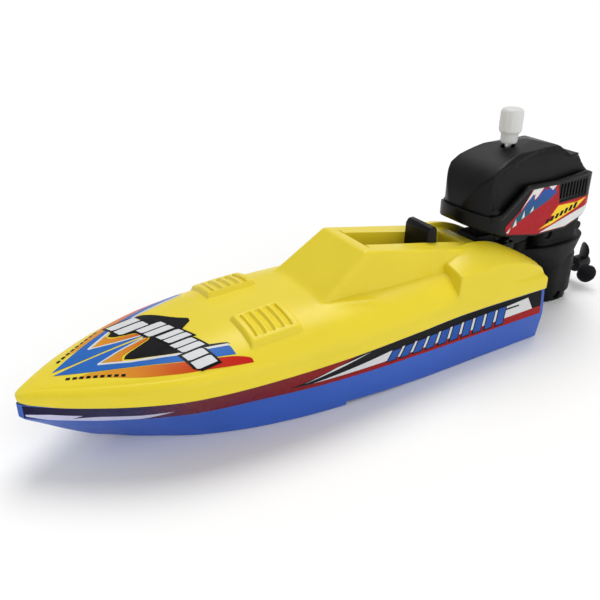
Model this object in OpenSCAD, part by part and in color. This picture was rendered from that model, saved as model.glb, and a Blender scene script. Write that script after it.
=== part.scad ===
// Wind-up toy speedboat with a steerable outboard motor. Millimetres, +X to the bow,
// +Y to port, +Z up. Inside the modules x runs from the transom (x = 0) to the bow;
// the whole model is then moved aft so that the origin is the middle of its footprint.

/* [Boat] */
// Length of the hull from the transom to the bow tip
hull_len = 190; // [186:1:194]
// Greatest half-beam, at the deck's gunwale
half_beam = 30.2; // [29.6:0.1:31]
// Wall thickness of the hull and deck mouldings
shell_wall = 1.6; // [1.2:0.1:1.8]
// Height of the seam between the hull and the deck's lip
seam_z = 22; // [21.6:0.1:22.4]
// Height of the knuckle line low on the hull side
knuckle_z = 11.5; // [11:0.1:12]
// Depth of the planing step in the bottom
step_rise = 1.2; // [0.6:0.1:1.5]

/* [Cockpit] */
// Height of the coaming at the top of the windshield
coaming_top = 49.3; // [48:0.1:50]
// Half-width of the coaming along its top edge
coaming_half = 13.3; // [13:0.1:13.8]
// Half-width of the cockpit opening at its front
cockpit_half = 8.8; // [8.4:0.1:9.2]
// Front end of the cockpit opening
cockpit_front = 72; // [71:0.5:73]
// Aft end of the cockpit opening
cockpit_aft = 27; // [26:0.5:28]
// Half-width of the seat
seat_half = 6.5; // [6:0.1:7]
// Top of the seat back
seat_top = 48.7; // [46:0.1:50]

/* [Outboard] */
// Distance of the steering axis behind the transom
swivel_x = -9; // [-9.5:0.1:-8.8]
// Radius of the steering pin
swivel_r = 1.5; // [1.3:0.1:1.7]
// Half-width of the cowl at its belt
cowl_half = 14.2; // [14:0.1:14.6]
// Wall thickness of the cowl's two mouldings
cowl_wall = 1.3; // [1.1:0.1:1.4]
// Where the winding arbor stands
arbor_x = 2; // [1.9:0.1:2.1]
// Radius of the winding arbor
arbor_r = 1.5; // [1.3:0.1:1.5]
// Greatest diameter of the winding knob
knob_d = 8.6; // [8:0.1:9.2]

/* [Gear train] */
// Module of the spur gears
gear_module = 0.5; // [0.49:0.01:0.5]
// Teeth on the great wheel
great_teeth = 40; // [40:1:40]
// Teeth on the first idler's pinion
first_pinion_teeth = 10; // [10:1:10]
// Teeth on both idler wheels
idler_teeth = 26; // [26:1:26]
// Teeth on the second idler's pinion and on the drive pinion
fast_pinion_teeth = 11; // [11:1:11]
// Teeth on the crown wheel
crown_teeth = 16; // [16:1:16]
// Teeth on the propeller shaft's pinion
shaft_pinion_teeth = 10; // [10:1:10]
// Radial clearance of every running shaft
running_gap = 0.05; // [0.03:0.01:0.08]

/* [Propeller] */
// Height of the propeller shaft
shaft_z = 10.4; // [10.4:0.1:11]
// Radius over the blade tips
prop_r = 10; // [9:0.1:10]
// Number of blades
blades = 3; // [2:1:4]

/* [Hidden] */
$fn = 48;

eps = 0.01;
yellow = [0.93, 0.84, 0.22];
blue = [0.18, 0.33, 0.66];
black = [0.12, 0.12, 0.13];
steel = [0.72, 0.73, 0.75];
brass = [0.78, 0.62, 0.3];
white = [0.88, 0.88, 0.86];
red = [0.6, 0.18, 0.2];

hub_aft = -60;
// Where the vertical shafts of the gear train stand
first_x = arbor_x - gear_module * (great_teeth + first_pinion_teeth) / 2;
second_x = first_x - gear_module * (idler_teeth + fast_pinion_teeth) / 2;
drive_x = second_x - gear_module * (idler_teeth + fast_pinion_teeth) / 2;
origin_x = (hull_len + hub_aft) / 2;

// Outlines along the boat: [share of the length, value]
plan_curve = [[0, 0.891], [0.21, 0.888], [0.34, 0.947], [0.5, 1], [0.66, 0.967], [0.765, 0.868],
    [0.845, 0.679], [0.92, 0.42], [0.968, 0.212], [0.993, 0.086], [1, 0.03]];
crest_curve = [[0, 31.6], [0.126, 35.5], [0.24, 36.1], [0.5, 36.4], [0.58, 36], [0.663, 35],
    [0.765, 33], [0.845, 31], [0.92, 28.6], [0.974, 26.6], [1, 25.2]];
gunwale_curve = [[0, 27], [0.8, 27], [0.92, 26.4], [1, 24.8]];
knuckle_curve = [[0, 27], [0.37, 26.8], [0.52, 25.4], [0.64, 22], [0.74, 18.6], [0.816, 13.6],
    [0.895, 8.2], [0.958, 4.2], [0.99, 1.6], [1, 0.5]];
bottom_curve = [[0, 25.2], [0.37, 26], [0.47, 25.4], [0.57, 23.4], [0.66, 19.8], [0.74, 14.3],
    [0.81, 6.8], [0.86, 1.4], [0.9, 0.6], [1, 0.4]];
stem_curve = [[0.842, 0], [0.884, 2.4], [0.929, 7.4], [0.972, 13.2], [0.992, 15.8], [1, 17.4]];
step_at = 0.479;
step_start = 0.3;

// Stations of the lofted mouldings, as shares of the length
stations = [0, 0.08, 0.16, 0.24, 0.32, 0.4, step_at - 0.002, step_at, 0.56, 0.62, 0.68, 0.74, 0.79,
    0.84, 0.88, 0.915, 0.945, 0.968, 0.986, 0.996, 1];

function slope(p, i) =
    let(a = max(i - 1, 0), b = min(i + 1, len(p) - 1))
    (p[b][1] - p[a][1]) / (p[b][0] - p[a][0]);
function segment(s, p, i = 0) = i >= len(p) - 2 || s < p[i + 1][0] ? i : segment(s, p, i + 1);
// Smooth curve through the points p, read at s
function curve(s, p) =
    let(i = segment(s, p), h = p[i + 1][0] - p[i][0], t = (s - p[i][0]) / h)
    (2 * pow(t, 3) - 3 * t * t + 1) * p[i][1] + (pow(t, 3) - 2 * t * t + t) * h * slope(p, i)
    + (3 * t * t - 2 * pow(t, 3)) * p[i + 1][1] + (pow(t, 3) - t * t) * h * slope(p, i + 1);

function plan_half(s) = half_beam * curve(s, plan_curve);
function keel_z(s) =
    s >= stem_curve[0][0] ? curve(s, stem_curve)
    : s >= step_at || s < step_start ? 0
    : step_rise * (s - step_start) / (step_at - step_start);
function knuckle_height(s) = knuckle_z + 5.4 * pow(max(0, (s - 0.8) / 0.2), 1.5);
deck_power = 4;
function deck_z(s, share) =
    let(g = curve(s, gunwale_curve))
    g + (curve(s, crest_curve) - g) * (1 - pow(abs(share), deck_power));
deck_shares = [1, 0.97, 0.9, 0.78, 0.6, 0.35, 0, -0.35, -0.6, -0.78, -0.9, -0.97, -1];

function reversed(p) = [for (i = [len(p) - 1:-1:0]) p[i]];
function unit(v) = v / norm(v);
function inset_point(a, b, c, d) =
    let(u = unit(b - a), v = unit(c - b), m = [-u[1], u[0]], n = [-v[1], v[0]])
    b + d * (m + n) / (1 + m * n);
// A counter-clockwise outline moved inwards by d
function inset(p, d) =
    [for (i = [0:len(p) - 1]) inset_point(p[(i + len(p) - 1) % len(p)], p[i], p[(i + 1) % len(p)], d)];

// Closed solid through rings that all have the same number of points. A ring that runs out along
// one face of a sheet and back along the other has its end closed strip by strip.
module loft(rings, sheet = false) {
    n = len(rings[0]);
    last = (len(rings) - 1) * n;
    first_end = sheet ? [for (j = [0:n / 2 - 2]) [j, j + 1, n - 2 - j, n - 1 - j]] : [[for (j = [0:n - 1]) j]];
    sides = [for (i = [0:len(rings) - 2], j = [0:n - 1])
        let(a = i * n + j, b = i * n + (j + 1) % n)
        each [[a, a + n, b + n], [a, b + n, b]]];
    polyhedron(
        points = [for (r = rings) each r],
        faces = concat(first_end, [for (f = first_end) [for (j = reversed(f)) last + j]], sides));
}

module mirror_copy() {
    children();
    mirror([0, 1, 0]) children();
}

// A plan outline with round front and rear corners, extruded upwards
module rounded_block(x0, x1, half, r_rear, r_front, z0, z1) {
    translate([0, 0, z0]) linear_extrude(z1 - z0) union() {
        translate([x0 + r_rear, -half]) square([x1 - r_front - x0 - r_rear, 2 * half]);
        translate([x0, -half + r_rear]) square([r_rear + eps, 2 * (half - r_rear)]);
        translate([x1 - r_front - eps, -half + r_front]) square([r_front + eps, 2 * (half - r_front)]);
        for (side = [-1, 1]) {
            translate([x0 + r_rear, side * (half - r_rear)]) circle(r_rear);
            translate([x1 - r_front, side * (half - r_front)]) circle(r_front);
        }
    }
}

// A side-view outline (x, z) extruded across the boat
module side_extrude(points, half) {
    rotate([90, 0, 0]) linear_extrude(2 * half, center = true) polygon(points);
}

module pin_z(x, y, z0, z1, r) {
    translate([x, y, z0]) cylinder(h = z1 - z0, r = r);
}

module pin_x(x0, x1, z, r) {
    translate([x0, 0, z]) rotate([0, 90, 0]) cylinder(h = x1 - x0, r = r);
}

// ---------- hull and deck ----------

function hull_ring(s, d, top) =
    let(x = min(max(s * hull_len, d), hull_len - 3 * d),
        e = min(s, 1 - 3 * d / hull_len),
        k = max(knuckle_height(e), keel_z(e) + 0.6 + d),
        y_top = max(plan_half(e) - 0.7 - d, 0.3),
        y_mid = max(curve(e, knuckle_curve) - d, 0.25),
        y_low = max(curve(e, bottom_curve) - d, 0.2),
        z_low = keel_z(e) + d)
    [[x, y_low, z_low], [x, y_mid, k], [x, y_top, top], [x, -y_top, top], [x, -y_mid, k],
        [x, -y_low, z_low]];

module hull_solid(d, top) {
    loft([for (s = stations) if (d <= 0 || s < 0.95) hull_ring(s, d, top)]);
}

rim_gap = 0.25;
rim_wall = 1.3;
rim_top = 24.6;
function rim_ring(s, d, z0) =
    let(y = plan_half(s) - shell_wall - rim_gap - d, x = max(s * hull_len, shell_wall + rim_gap + d))
    [[x, y, z0], [x, y, rim_top + d], [x, -y, rim_top + d], [x, -y, z0]];

module rim(d, z0) {
    loft([for (s = stations) if (s < 0.95) rim_ring(s, d, z0)]);
}

// Hull screws: [x, y, top of the deck's boss]
screw_places = [[30, 17, 37.6], [30, -17, 37.6], [138, 9, 32.6], [138, -9, 32.6]];
boss_split = 15;
boss_r = 3.2;
screw_r = 1;

module hull_shell() {
    color(blue) difference() {
        union() {
            difference() {
                union() {
                    hull_solid(0, seam_z - 0.1);
                    rim(0, seam_z - 1);
                }
                hull_solid(shell_wall + eps, seam_z - 0.9);
                rim(rim_wall, seam_z - 1.2);
            }
            for (p = screw_places) pin_z(p[0], p[1], shell_wall - 0.8, boss_split, boss_r);
        }
        for (p = screw_places) {
            pin_z(p[0], p[1], -1, boss_split + 1, screw_r + 0.2);
            pin_z(p[0], p[1], -1, 3.2, 2.2);
        }
    }
}

function deck_ring(s, d, low) =
    let(e = min(max(s, 0), 1),
        y = max(plan_half(e) - d, 0.3),
        x = min(max(s * hull_len, d), hull_len))
    concat([[x, y, low]], [for (f = deck_shares) [x, y * f, deck_z(e, f) - d]], [[x, -y, low]]);

module deck_base(d, low) {
    loft([for (s = stations) if (d == 0 || s < 0.975) deck_ring(s, d, low)]);
}

windshield_foot_x = 104.2;
coaming_foot = 29;
coaming_draft = 0.16;
function coaming_ring(x, top, d) =
    let(foot = coaming_foot - 0.7 * d,
        z = max(top - d, foot + 0.4),
        y_top = coaming_half + coaming_draft * (coaming_top - z) - d,
        y_low = coaming_half + coaming_draft * (coaming_top - foot) - d)
    [[x, y_low, foot], [x, y_top, z], [x, -y_top, z], [x, -y_low, foot]];

// The raised coaming with its sloping windshield
module coaming(d) {
    loft([coaming_ring(20 + d, 37.5, d), coaming_ring(cockpit_aft, 40, d),
        coaming_ring(76.4 - 0.4 * d, coaming_top, d),
        coaming_ring(windshield_foot_x - 1.6 * d, coaming_foot + 1, d)]);
}

// Aft side humps: [x, height of the inner edge, height of the outer edge]
hump_profile = [[0, 31.2, 29.3], [7, 35.2, 32.6], [15, 39, 34.9], [22, 41, 35.8], [30, 41.6, 35.8],
    [38, 39.8, 35.8], [42.5, 38.2, 36]];
hump_inner = 10.6;
hump_outer = 24.3;
hump_foot = 26.5;
function hump_ring(h, d, x) =
    [[x, hump_inner + d, hump_foot - 0.7 * d], [x, hump_outer + 1.3 - d, hump_foot - 0.7 * d],
        [x, hump_outer - d, h[2] - d],
        [x, 17.5, (h[1] + h[2]) / 2 + 0.9 - d], [x, hump_inner + 0.8 + d, h[1] - d]];

module hump(d) {
    last = len(hump_profile) - 1;
    loft([for (i = [0:last]) let(h = hump_profile[i])
        hump_ring(h, d, i == 0 ? d : i == last ? h[0] - d : h[0])]);
}

// Raised louvred vent on each side of the foredeck
louvres = 5;
vent_front = 126;
vent_aft = 108;
vent_rise = 1.7;
vent_drop = 0.9;
function vent_ring(x, rise, inner, outer) =
    let(s = x / hull_len, b = plan_half(s))
    concat([for (i = [0:4]) let(y = inner + (outer - inner) * i / 4) [x, y, deck_z(s, y / b) - 0.8]],
        [for (i = [4:-1:0]) let(y = inner + (outer - inner) * i / 4) [x, y, deck_z(s, y / b) + rise]]);

module vent() {
    pitch = (vent_front - vent_aft) / louvres;
    loft([for (i = [0:louvres - 1], edge = [0, 1])
        let(x = vent_aft + pitch * (i + edge) - edge * 0.35 + 0.01)
        vent_ring(x, edge == 0 ? vent_rise - vent_drop : vent_rise, 8.4, 24)], sheet = true);
}

module cockpit_plan(grow, z0, z1) {
    back = cockpit_aft - grow;
    front = cockpit_front + grow;
    translate([0, 0, z0]) linear_extrude(z1 - z0) polygon([[back, -cockpit_half + 0.8 - grow],
        [front, -cockpit_half - grow], [front, cockpit_half + grow], [back, cockpit_half - 0.8 + grow]]);
}

wall_foot = 27.6;
module deck_outer() {
    deck_base(0, seam_z);
    coaming(0);
    mirror_copy() hump(0);
    mirror_copy() vent();
}

module deck_inner() {
    difference() {
        union() {
            deck_base(shell_wall, seam_z - 1);
            coaming(shell_wall);
            mirror_copy() hump(shell_wall);
        }
        cockpit_plan(shell_wall, wall_foot, 60);
    }
}

module deck_shell() {
    color(yellow) difference() {
        union() {
            difference() {
                deck_outer();
                deck_inner();
                cockpit_plan(0, 20, 60);
            }
            for (p = screw_places) pin_z(p[0], p[1], boss_split + 0.1, p[2], boss_r);
        }
        for (p = screw_places) pin_z(p[0], p[1], boss_split, boss_split + 9, screw_r);
        for (side = [-1, 1]) pin_z(bracket_screw_x, side * bracket_screw_y, 20, 40, screw_r);
    }
}

module hull_screws() {
    color(steel) for (p = screw_places) {
        pin_z(p[0], p[1], 1.6, 3.1, 2);
        pin_z(p[0], p[1], 3.1 - eps, boss_split + 8, screw_r);
    }
}

// ---------- cockpit and bracket ----------

tray_top = 27.3;
module cockpit_tray() {
    color(black) difference() {
        union() {
            translate([cockpit_aft - 1.4, -11.2, tray_top - 1.5])
                cube([cockpit_front - cockpit_aft + 2.8, 22.4, 1.5]);
            translate([66.5, -7.6, tray_top - eps]) cube([4, 15.2, 7]);
        }
        for (side = [-1, 1]) pin_z(42, side * 4, 20, 30, 1.5);
    }
}

module seat() {
    color(black) union() {
        side_extrude([[38.5, tray_top + 0.1], [50, tray_top + 0.1], [50, 31.5], [44.6, 32.5],
            [44, seat_top - 1.6], [42.8, seat_top], [40.6, seat_top], [39.6, seat_top - 1.2]], seat_half);
        for (side = [-1, 1]) pin_z(42, side * 4, tray_top - 3, tray_top + 1, 1.4);
    }
}

bracket_screw_x = 5;
bracket_screw_y = 7.4;
lug_low = 32.3;
lug_high = 35.7;
lug_r = 5.2;
// Slope of the deck between the humps, along which the bracket's foot lies
foot_low = [1.2, 32.05];
foot_high = [19.2, 34.95];

module transom_bracket() {
    color(black) difference() {
        union() {
            side_extrude([foot_low, foot_high, [19.2, 36.4], [17.2, 39.4], [10, 39.2], [7, 36], [1.2, lug_high]],
                5.5);
            side_extrude([foot_low, [8.6, 33.3], [8.6, 35.4], [1.2, lug_high]], 9.2);
            translate([swivel_x, -lug_r, lug_low]) cube([1.6 - swivel_x, 2 * lug_r, lug_high - lug_low]);
            pin_z(swivel_x, 0, lug_low, lug_high, lug_r);
        }
        pin_z(swivel_x, 0, 20, 50, swivel_r + running_gap);
        for (side = [-1, 1]) pin_z(bracket_screw_x, side * bracket_screw_y, 20, 40, screw_r + 0.2);
    }
}

module bracket_screws() {
    color(steel) for (side = [-1, 1]) {
        pin_z(bracket_screw_x, side * bracket_screw_y, 35.75, 37, 1.7);
        pin_z(bracket_screw_x, side * bracket_screw_y, 28, 35.8, screw_r);
    }
}

// ---------- printed films ----------

film = 0.3;
lift = 0.04;
sticker_top = seam_z - 0.4;

// Outline (x, z) of the printed side, from just above the knuckle to just below the seam
function side_outline() =
    let(along = [for (s = stations) if (s > 0 && s < 0.975) s], aft = 1.5)
    concat([[aft, knuckle_z + 0.5]], [for (s = along) [s * hull_len, knuckle_height(s) + 0.5]],
        [[along[len(along) - 1] * hull_len, sticker_top], [aft, sticker_top]]);

module side_sticker(side) {
    difference() {
        intersection() {
            hull_solid(-lift - film, seam_z - 0.1);
            translate([0, side * 20, 0]) side_extrude(side_outline(), 18);
        }
        hull_solid(-lift, seam_z - 0.1);
    }
}

module side_sticker_port() {
    color(red) side_sticker(1);
}

module side_sticker_starboard() {
    color(red) side_sticker(-1);
}

function film_row(s, z) = [for (f = deck_shares) if (abs(f) < 0.95) [s * hull_len, plan_half(s) * f, deck_z(s, f) + z]];
module deck_sticker() {
    color(blue) loft([for (s = stations) if (s > 0.7 && s < 0.95)
        concat(film_row(s, lift + film), reversed(film_row(s, lift)))], sheet = true);
}

// ---------- cowl ----------

// Side outlines, counter-clockwise in (x, z)
pan_outline = [[-36.4, 46.2], [-28.5, 41.2], [-21, 38.4], [-4, 38.4], [12, 41.3], [26.6, 46.5],
    [28, 48.5], [28, 52.8], [20, 50.2], [15.5, 50.7], [3.5, 60], [-13, 59.6], [-29, 61], [-34.6, 59]];
hood_outline = [[-34.6, 48.6], [26.6, 48.6], [26.1, 55], [24.2, 60.5], [20.6, 64.8], [15.6, 68],
    [8.4, 70.6], [2, 71.9], [-9, 72.8], [-16, 71.5], [-21, 67.6], [-25.2, 67.8], [-29.4, 62], [-33.2, 58.8]];
pan_inner = [[-37, 60], [-35, 47], [-28, 42.6], [-20.8, 39.9], [-4.2, 39.9], [12, 42.8], [25.8, 47.7],
    [32, 53], [32, 62], [-30, 62]];
cowl_front_x = 28;
cowl_front_r = 13.9;
cowl_rear_r = 7;

module cowl_plan(d) {
    rounded_block(-36.4 + d, cowl_front_x - d, cowl_half - d, cowl_rear_r - d, cowl_front_r - d, 30, 90);
}

// Cross-section (y, z) of the hood, extruded along the boat
module hood_section(d) {
    rotate([90, 0, 90]) translate([0, 0, -50]) linear_extrude(100) polygon([
        [-12.9 + d, 40], [12.9 - d, 40], [12.7 - d, 57], [11.4 - d, 68 - d], [9.5 - d, 71.2 - d],
        [0, 73 - d], [-9.5 + d, 71.2 - d], [-11.4 + d, 68 - d], [-12.7 + d, 57]]);
}

module cowl_hood() {
    color(black) difference() {
        intersection() {
            side_extrude(hood_outline, 20);
            cowl_plan(1.4);
            hood_section(0);
        }
        intersection() {
            side_extrude(concat([[-33, 40], [27, 40]], [for (i = [2:len(hood_outline) - 1])
                inset(hood_outline, cowl_wall)[i]]), 20);
            cowl_plan(1.4 + cowl_wall);
            hood_section(cowl_wall);
        }
        pin_z(arbor_x, 0, 60, 80, 2.6);
    }
}

grille_slots = 8;
module grille(side) {
    for (i = [0:grille_slots - 1])
        translate([-27.6 + i * 1.75, side * (cowl_half - 0.35), 51.2 + i * 0.1])
            translate([0, -0.4, 0]) cube([0.95, 0.8, 5.6]);
}

module cowl_pan() {
    color(black) difference() {
        union() {
            difference() {
                intersection() {
                    side_extrude(pan_outline, 20);
                    cowl_plan(0);
                }
                intersection() {
                    side_extrude(pan_inner, 20);
                    cowl_plan(1.25);
                }
            }
            for (p = pillar_places) pin_z(p[0], p[1], p[0] > 0 ? 40 : 41.2, plate_low, 2.4);
        }
        pin_z(drive_x, 0, 30, 50, 2.2);
        pin_z(swivel_x, 0, 30, 50, 2.6);
        for (side = [-1, 1]) grille(side);
        for (p = pillar_places) pin_z(p[0], p[1], 42.6, plate_low + 1, 0.9);
        for (p = cowl_screw_places) pin_z(p[0], p[1], 30, 50, screw_r + 0.1);
    }
}

cowl_screw_places = [[20, 0], [-15, 7.5], [-15, -7.5]];
module cowl_screws() {
    color(steel) for (p = cowl_screw_places) {
        z = p[0] > 0 ? 46.4 : 40.1;
        pin_z(p[0], p[1], z, z + 1.3, 1.9);
        pin_z(p[0], p[1], p[0] > 0 ? 43.9 : 36.3, z + eps, screw_r);
    }
}

cowl_film = [[13.5, 42.6], [14, 49], [3, 58.6], [-12.6, 58.4], [-13.2, 50], [-28.6, 51], [-34.4, 50.6],
    [-34.6, 47], [-27.5, 41.8], [-20, 39.4], [-5, 39.4]];
module cowl_sticker(side) {
    rotate([90, 0, 0]) translate([0, 0, side > 0 ? -cowl_half - lift - film : cowl_half + lift])
        linear_extrude(film) polygon([for (p = cowl_film) if (p[0] > -29.4) p]);
}

module cowl_sticker_port() {
    color(red) cowl_sticker(1);
}

module cowl_sticker_starboard() {
    color(red) cowl_sticker(-1);
}

// ---------- leg ----------

leg_back = -43.4;
leg_front = -21;
leg_foot = 0.4;
collar_z = 28.6;
bay_r = 6.2;
function ellipse(cx, z, a, b, n = 40) =
    [for (i = [0:n - 1]) [cx + a * cos(360 * i / n), b * sin(360 * i / n), z]];

// Flared anti-ventilation collar between the leg and the cowl
module collar() {
    loft([ellipse(-31, 17.5, 12, 8.5), ellipse(-29.5, 21.5, 14.6, 8.9), ellipse(-27.2, 26.2, 19.6, 9.8),
        ellipse(-26.6, collar_z - 0.5, 21.2, 10.1), ellipse(-26.6, collar_z, 20.8, 9.8)]);
}

module leg_outer() {
    rounded_block(leg_back, leg_front, 8.6, 8.5, 8.5, 4, 21);
    rounded_block(leg_back + 1.2, leg_front - 1.2, 7.6, 7.5, 7.5, leg_foot, 4.2);
    collar();
    rounded_block(-42.5, -15.4, 7.4, 7.3, 5, collar_z - 1, 45);
    rounded_block(-40, swivel_x + 5, 5, 4.9, 4.9, 36, 38.3);
    pin_z(swivel_x, 0, 26, lug_low - 0.4, 5);
    translate([-20, -5, collar_z - 3]) cube([11, 10, 2.9]);
}

leg_screw_places = [[-39, 33.5], [-20.5, 33.5], [-32, 3]];
module leg_casing() {
    difference() {
        leg_outer();
        intersection() {
            side_extrude(inset(pan_outline, -0.1), 20);
            cowl_plan(-0.1);
        }
        translate([-45, -20, 41]) cube([60, 40, 20]);
        pin_z(drive_x, 0, 6, 19, bay_r);
        pin_z(drive_x, 0, 22, 60, 3);
        pin_z(drive_x, 0, 10, 60, running_r);
        pin_x(-60, drive_x - bay_r + 1, shaft_z, bushing_r);
        pin_z(swivel_x, 0, 20, 60, swivel_r);
        for (p = leg_screw_places) translate([p[0], 0, p[1]]) rotate([90, 0, 0]) {
            cylinder(h = 30, r = 0.95, center = true, $fn = 24);
            translate([0, 0, -20]) cylinder(h = 14.6, r = 2, $fn = 24);
        }
    }
    intersection() {
        pin_z(drive_x, 0, 5, 19, bay_r + 0.5);
        difference() {
            translate([drive_x + 1.5, -8, 5]) cube([2.4, 16, 7.2]);
            pin_x(-40, -15, shaft_z, running_r);
        }
    }
}

module leg_port() {
    color(black) intersection() {
        leg_casing();
        translate([-70, 0.02, -5]) cube([90, 30, 60]);
    }
}

module leg_starboard() {
    color(black) intersection() {
        leg_casing();
        translate([-70, -30.02, -5]) cube([90, 30, 60]);
    }
}

module leg_screws() {
    color(steel) for (p = leg_screw_places) translate([p[0], 0, p[1]]) rotate([90, 0, 0]) {
        translate([0, 0, -6.6]) cylinder(h = 1.2, r = 1.8, $fn = 24);
        translate([0, 0, -5.4 - eps]) cylinder(h = 10.6, r = 0.9, $fn = 24);
    }
}

module swivel_pin() {
    color(steel) union() {
        pin_z(swivel_x, 0, 26.5, 40.2, swivel_r);
        pin_z(swivel_x, 0, 40.2 - eps, 41.4, 2.5);
    }
}

bushing_r = 2.1;
shaft_r = 1;
running_r = shaft_r + running_gap;
module shaft_bushing() {
    color(brass) difference() {
        union() {
            pin_x(-44.4, drive_x - bay_r - 0.3, shaft_z, bushing_r);
            pin_x(-44.4, -43.5, shaft_z, 3);
        }
        pin_x(-60, -20, shaft_z, running_r);
    }
}

// ---------- clockwork ----------

plate_low = 45.4;
plate_high = 57.4;
plate_t = 1;
pillar_places = [[10.6, 8.4], [10.6, -8.4], [-28.4, 8.2], [-28.4, -8.2]];

module motor_plate(z) {
    difference() {
        rounded_block(-31.2, 13.4, 10.4, 3, 3, z, z + plate_t);
        pin_z(arbor_x, 0, z - 1, z + 3, arbor_r + running_gap);
        for (x = [first_x, second_x, drive_x]) pin_z(x, 0, z - 1, z + 3, running_r);
        for (p = pillar_places) pin_z(p[0], p[1], z - 1, z + 3, 0.9);
    }
}

module motor_plate_lower() {
    color(steel) motor_plate(plate_low);
}

module motor_plate_upper() {
    color(steel) motor_plate(plate_high);
}

module motor_pillars() {
    color(brass) for (p = pillar_places) {
        pin_z(p[0], p[1], plate_low + plate_t, plate_high, 1.5);
        pin_z(p[0], p[1], 42.8, plate_low + plate_t + eps, 0.88);
        pin_z(p[0], p[1], plate_high - eps, plate_high + 1.5, 0.88);
    }
}

// Spiral mainspring around the arbor
spring_low = 46.9;
spring_high = 51.6;
spring_turns = 6;
spring_steps = 20;
function spiral(r0, r1) = [for (i = [0:spring_turns * spring_steps])
    let(t = i / (spring_turns * spring_steps), r = r0 + (r1 - r0) * t, a = 360 * spring_turns * t)
    [r * cos(a), r * sin(a)]];
module mainspring() {
    strip = 0.4;
    color(steel) translate([arbor_x, 0, spring_low]) linear_extrude(spring_high - spring_low)
        polygon(concat(spiral(1.65 + strip, 9.6 + strip), reversed(spiral(1.65, 9.6))));
}

// Spur gear with straight-sided teeth, the first tooth at angle phase
module spur(teeth, phase, z, thick, bore) {
    pitch_r = gear_module * teeth / 2;
    step = 360 / teeth;
    points = [for (i = [0:teeth - 1], c = [[-0.3, -0.6], [-0.11, 0.4], [0.11, 0.4], [0.3, -0.6]])
        let(a = phase + (i + c[0]) * step, r = pitch_r + c[1])
        [r * cos(a), r * sin(a)]];
    translate([0, 0, z]) linear_extrude(thick) difference() {
        polygon(points);
        circle(bore);
    }
}

// Heights of the gears between the plates
great_z = 52.2;
first_wheel_z = 54.4;
second_wheel_z = 48.6;
wheel_t = 1.2;
module gear_shaft(x, z0, z1) {
    color(steel) pin_z(x, 0, z0, z1, shaft_r);
}

module winding_arbor() {
    color(steel) pin_z(arbor_x, 0, plate_low + 0.1, 80, arbor_r);
}

module great_wheel() {
    color(white) translate([arbor_x, 0, 0]) {
        spur(great_teeth, 0, great_z, 1.4, arbor_r);
        translate([0, 0, great_z + 1.4 - eps]) linear_extrude(3) difference() {
            circle(3.2);
            circle(arbor_r);
        }
    }
}

module winding_knob() {
    color(white) translate([arbor_x, 0, 0]) rotate_extrude() polygon([[arbor_r, 73], [3, 73], [3.2, 73.4],
        [3.25, 76.4], [knob_d / 2 - 0.1, 77.6], [knob_d / 2, 85.1], [knob_d / 2 - 0.5, 85.6], [2, 85.9],
        [0, 85.9], [0, 80.1], [arbor_r, 80.1]]);
}

module first_idler_shaft() {
    gear_shaft(first_x, plate_low + 0.1, plate_high + 0.9);
}

module first_idler_gear() {
    color(white) translate([first_x, 0, 0]) {
        spur(first_pinion_teeth, 180 / first_pinion_teeth, great_z - 0.3, first_wheel_z - great_z + 0.3, shaft_r);
        spur(idler_teeth, 0, first_wheel_z - eps, wheel_t, shaft_r);
    }
}

module second_idler_shaft() {
    gear_shaft(second_x, plate_low + 0.1, plate_high + 0.9);
}

module second_idler_gear() {
    color(white) translate([second_x, 0, 0]) {
        spur(fast_pinion_teeth, 180 / fast_pinion_teeth, second_wheel_z + wheel_t - eps, 6.3, shaft_r);
        spur(idler_teeth, 0, second_wheel_z, wheel_t, shaft_r);
    }
}

module drive_shaft() {
    gear_shaft(drive_x, 12, plate_high + 0.9);
}

module drive_pinion() {
    color(white) translate([drive_x, 0, 0]) spur(fast_pinion_teeth, 180 / fast_pinion_teeth, 48, 2.4, shaft_r);
}

crown_r = 4.5;
crown_pitch = 2 * PI * crown_r / crown_teeth;
pinion_pitch_r = shaft_pinion_teeth * crown_pitch / (2 * PI);
crown_face = shaft_z + pinion_pitch_r + 0.9;
module crown_wheel() {
    color(white) translate([drive_x, 0, crown_face]) {
        difference() {
            union() {
                cylinder(h = 1.2, r = crown_r + 1);
                translate([0, 0, 1.2 - eps]) cylinder(h = 1.6, r = 2.6);
                for (i = [0:crown_teeth - 1]) rotate([0, 0, 360 / crown_teeth * i])
                    translate([crown_r - 0.9, -0.33, -1.4]) cube([1.8, 0.66, 1.4 + eps]);
            }
            translate([0, 0, -3]) cylinder(h = 9, r = shaft_r);
        }
    }
}

module propeller_shaft() {
    color(steel) pin_x(-57, drive_x + 4.2, shaft_z, shaft_r);
}

module shaft_pinion() {
    step = 360 / shaft_pinion_teeth;
    points = [for (i = [0:shaft_pinion_teeth - 1], c = [[-0.3, -0.62], [-0.12, 0.45], [0.12, 0.45], [0.3, -0.62]])
        let(a = (i + 0.5 + c[0]) * step, r = pinion_pitch_r + c[1])
        [r * cos(a), r * sin(a)]];
    color(white) translate([drive_x - crown_r - 0.8, 0, shaft_z]) rotate([0, -90, 0])
        translate([0, 0, -1.6]) linear_extrude(1.6) difference() {
            polygon(points);
            circle(shaft_r);
        }
}

hub_front = -50;
hub_r = 3.5;
blade_pitch = -32;
blade_r = 4.6;
blade_turn = 10;
module blade() {
    translate([-54.2, 0, 0]) rotate([0, 0, blade_pitch]) rotate([0, 90, 0]) translate([0, 0, -0.7])
        linear_extrude(1.4) union() {
            translate([-(prop_r - blade_r), 0]) circle(blade_r);
            translate([-(prop_r - blade_r), -1.6]) square([prop_r - blade_r - 1.2, 3.2]);
        }
}

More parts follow.
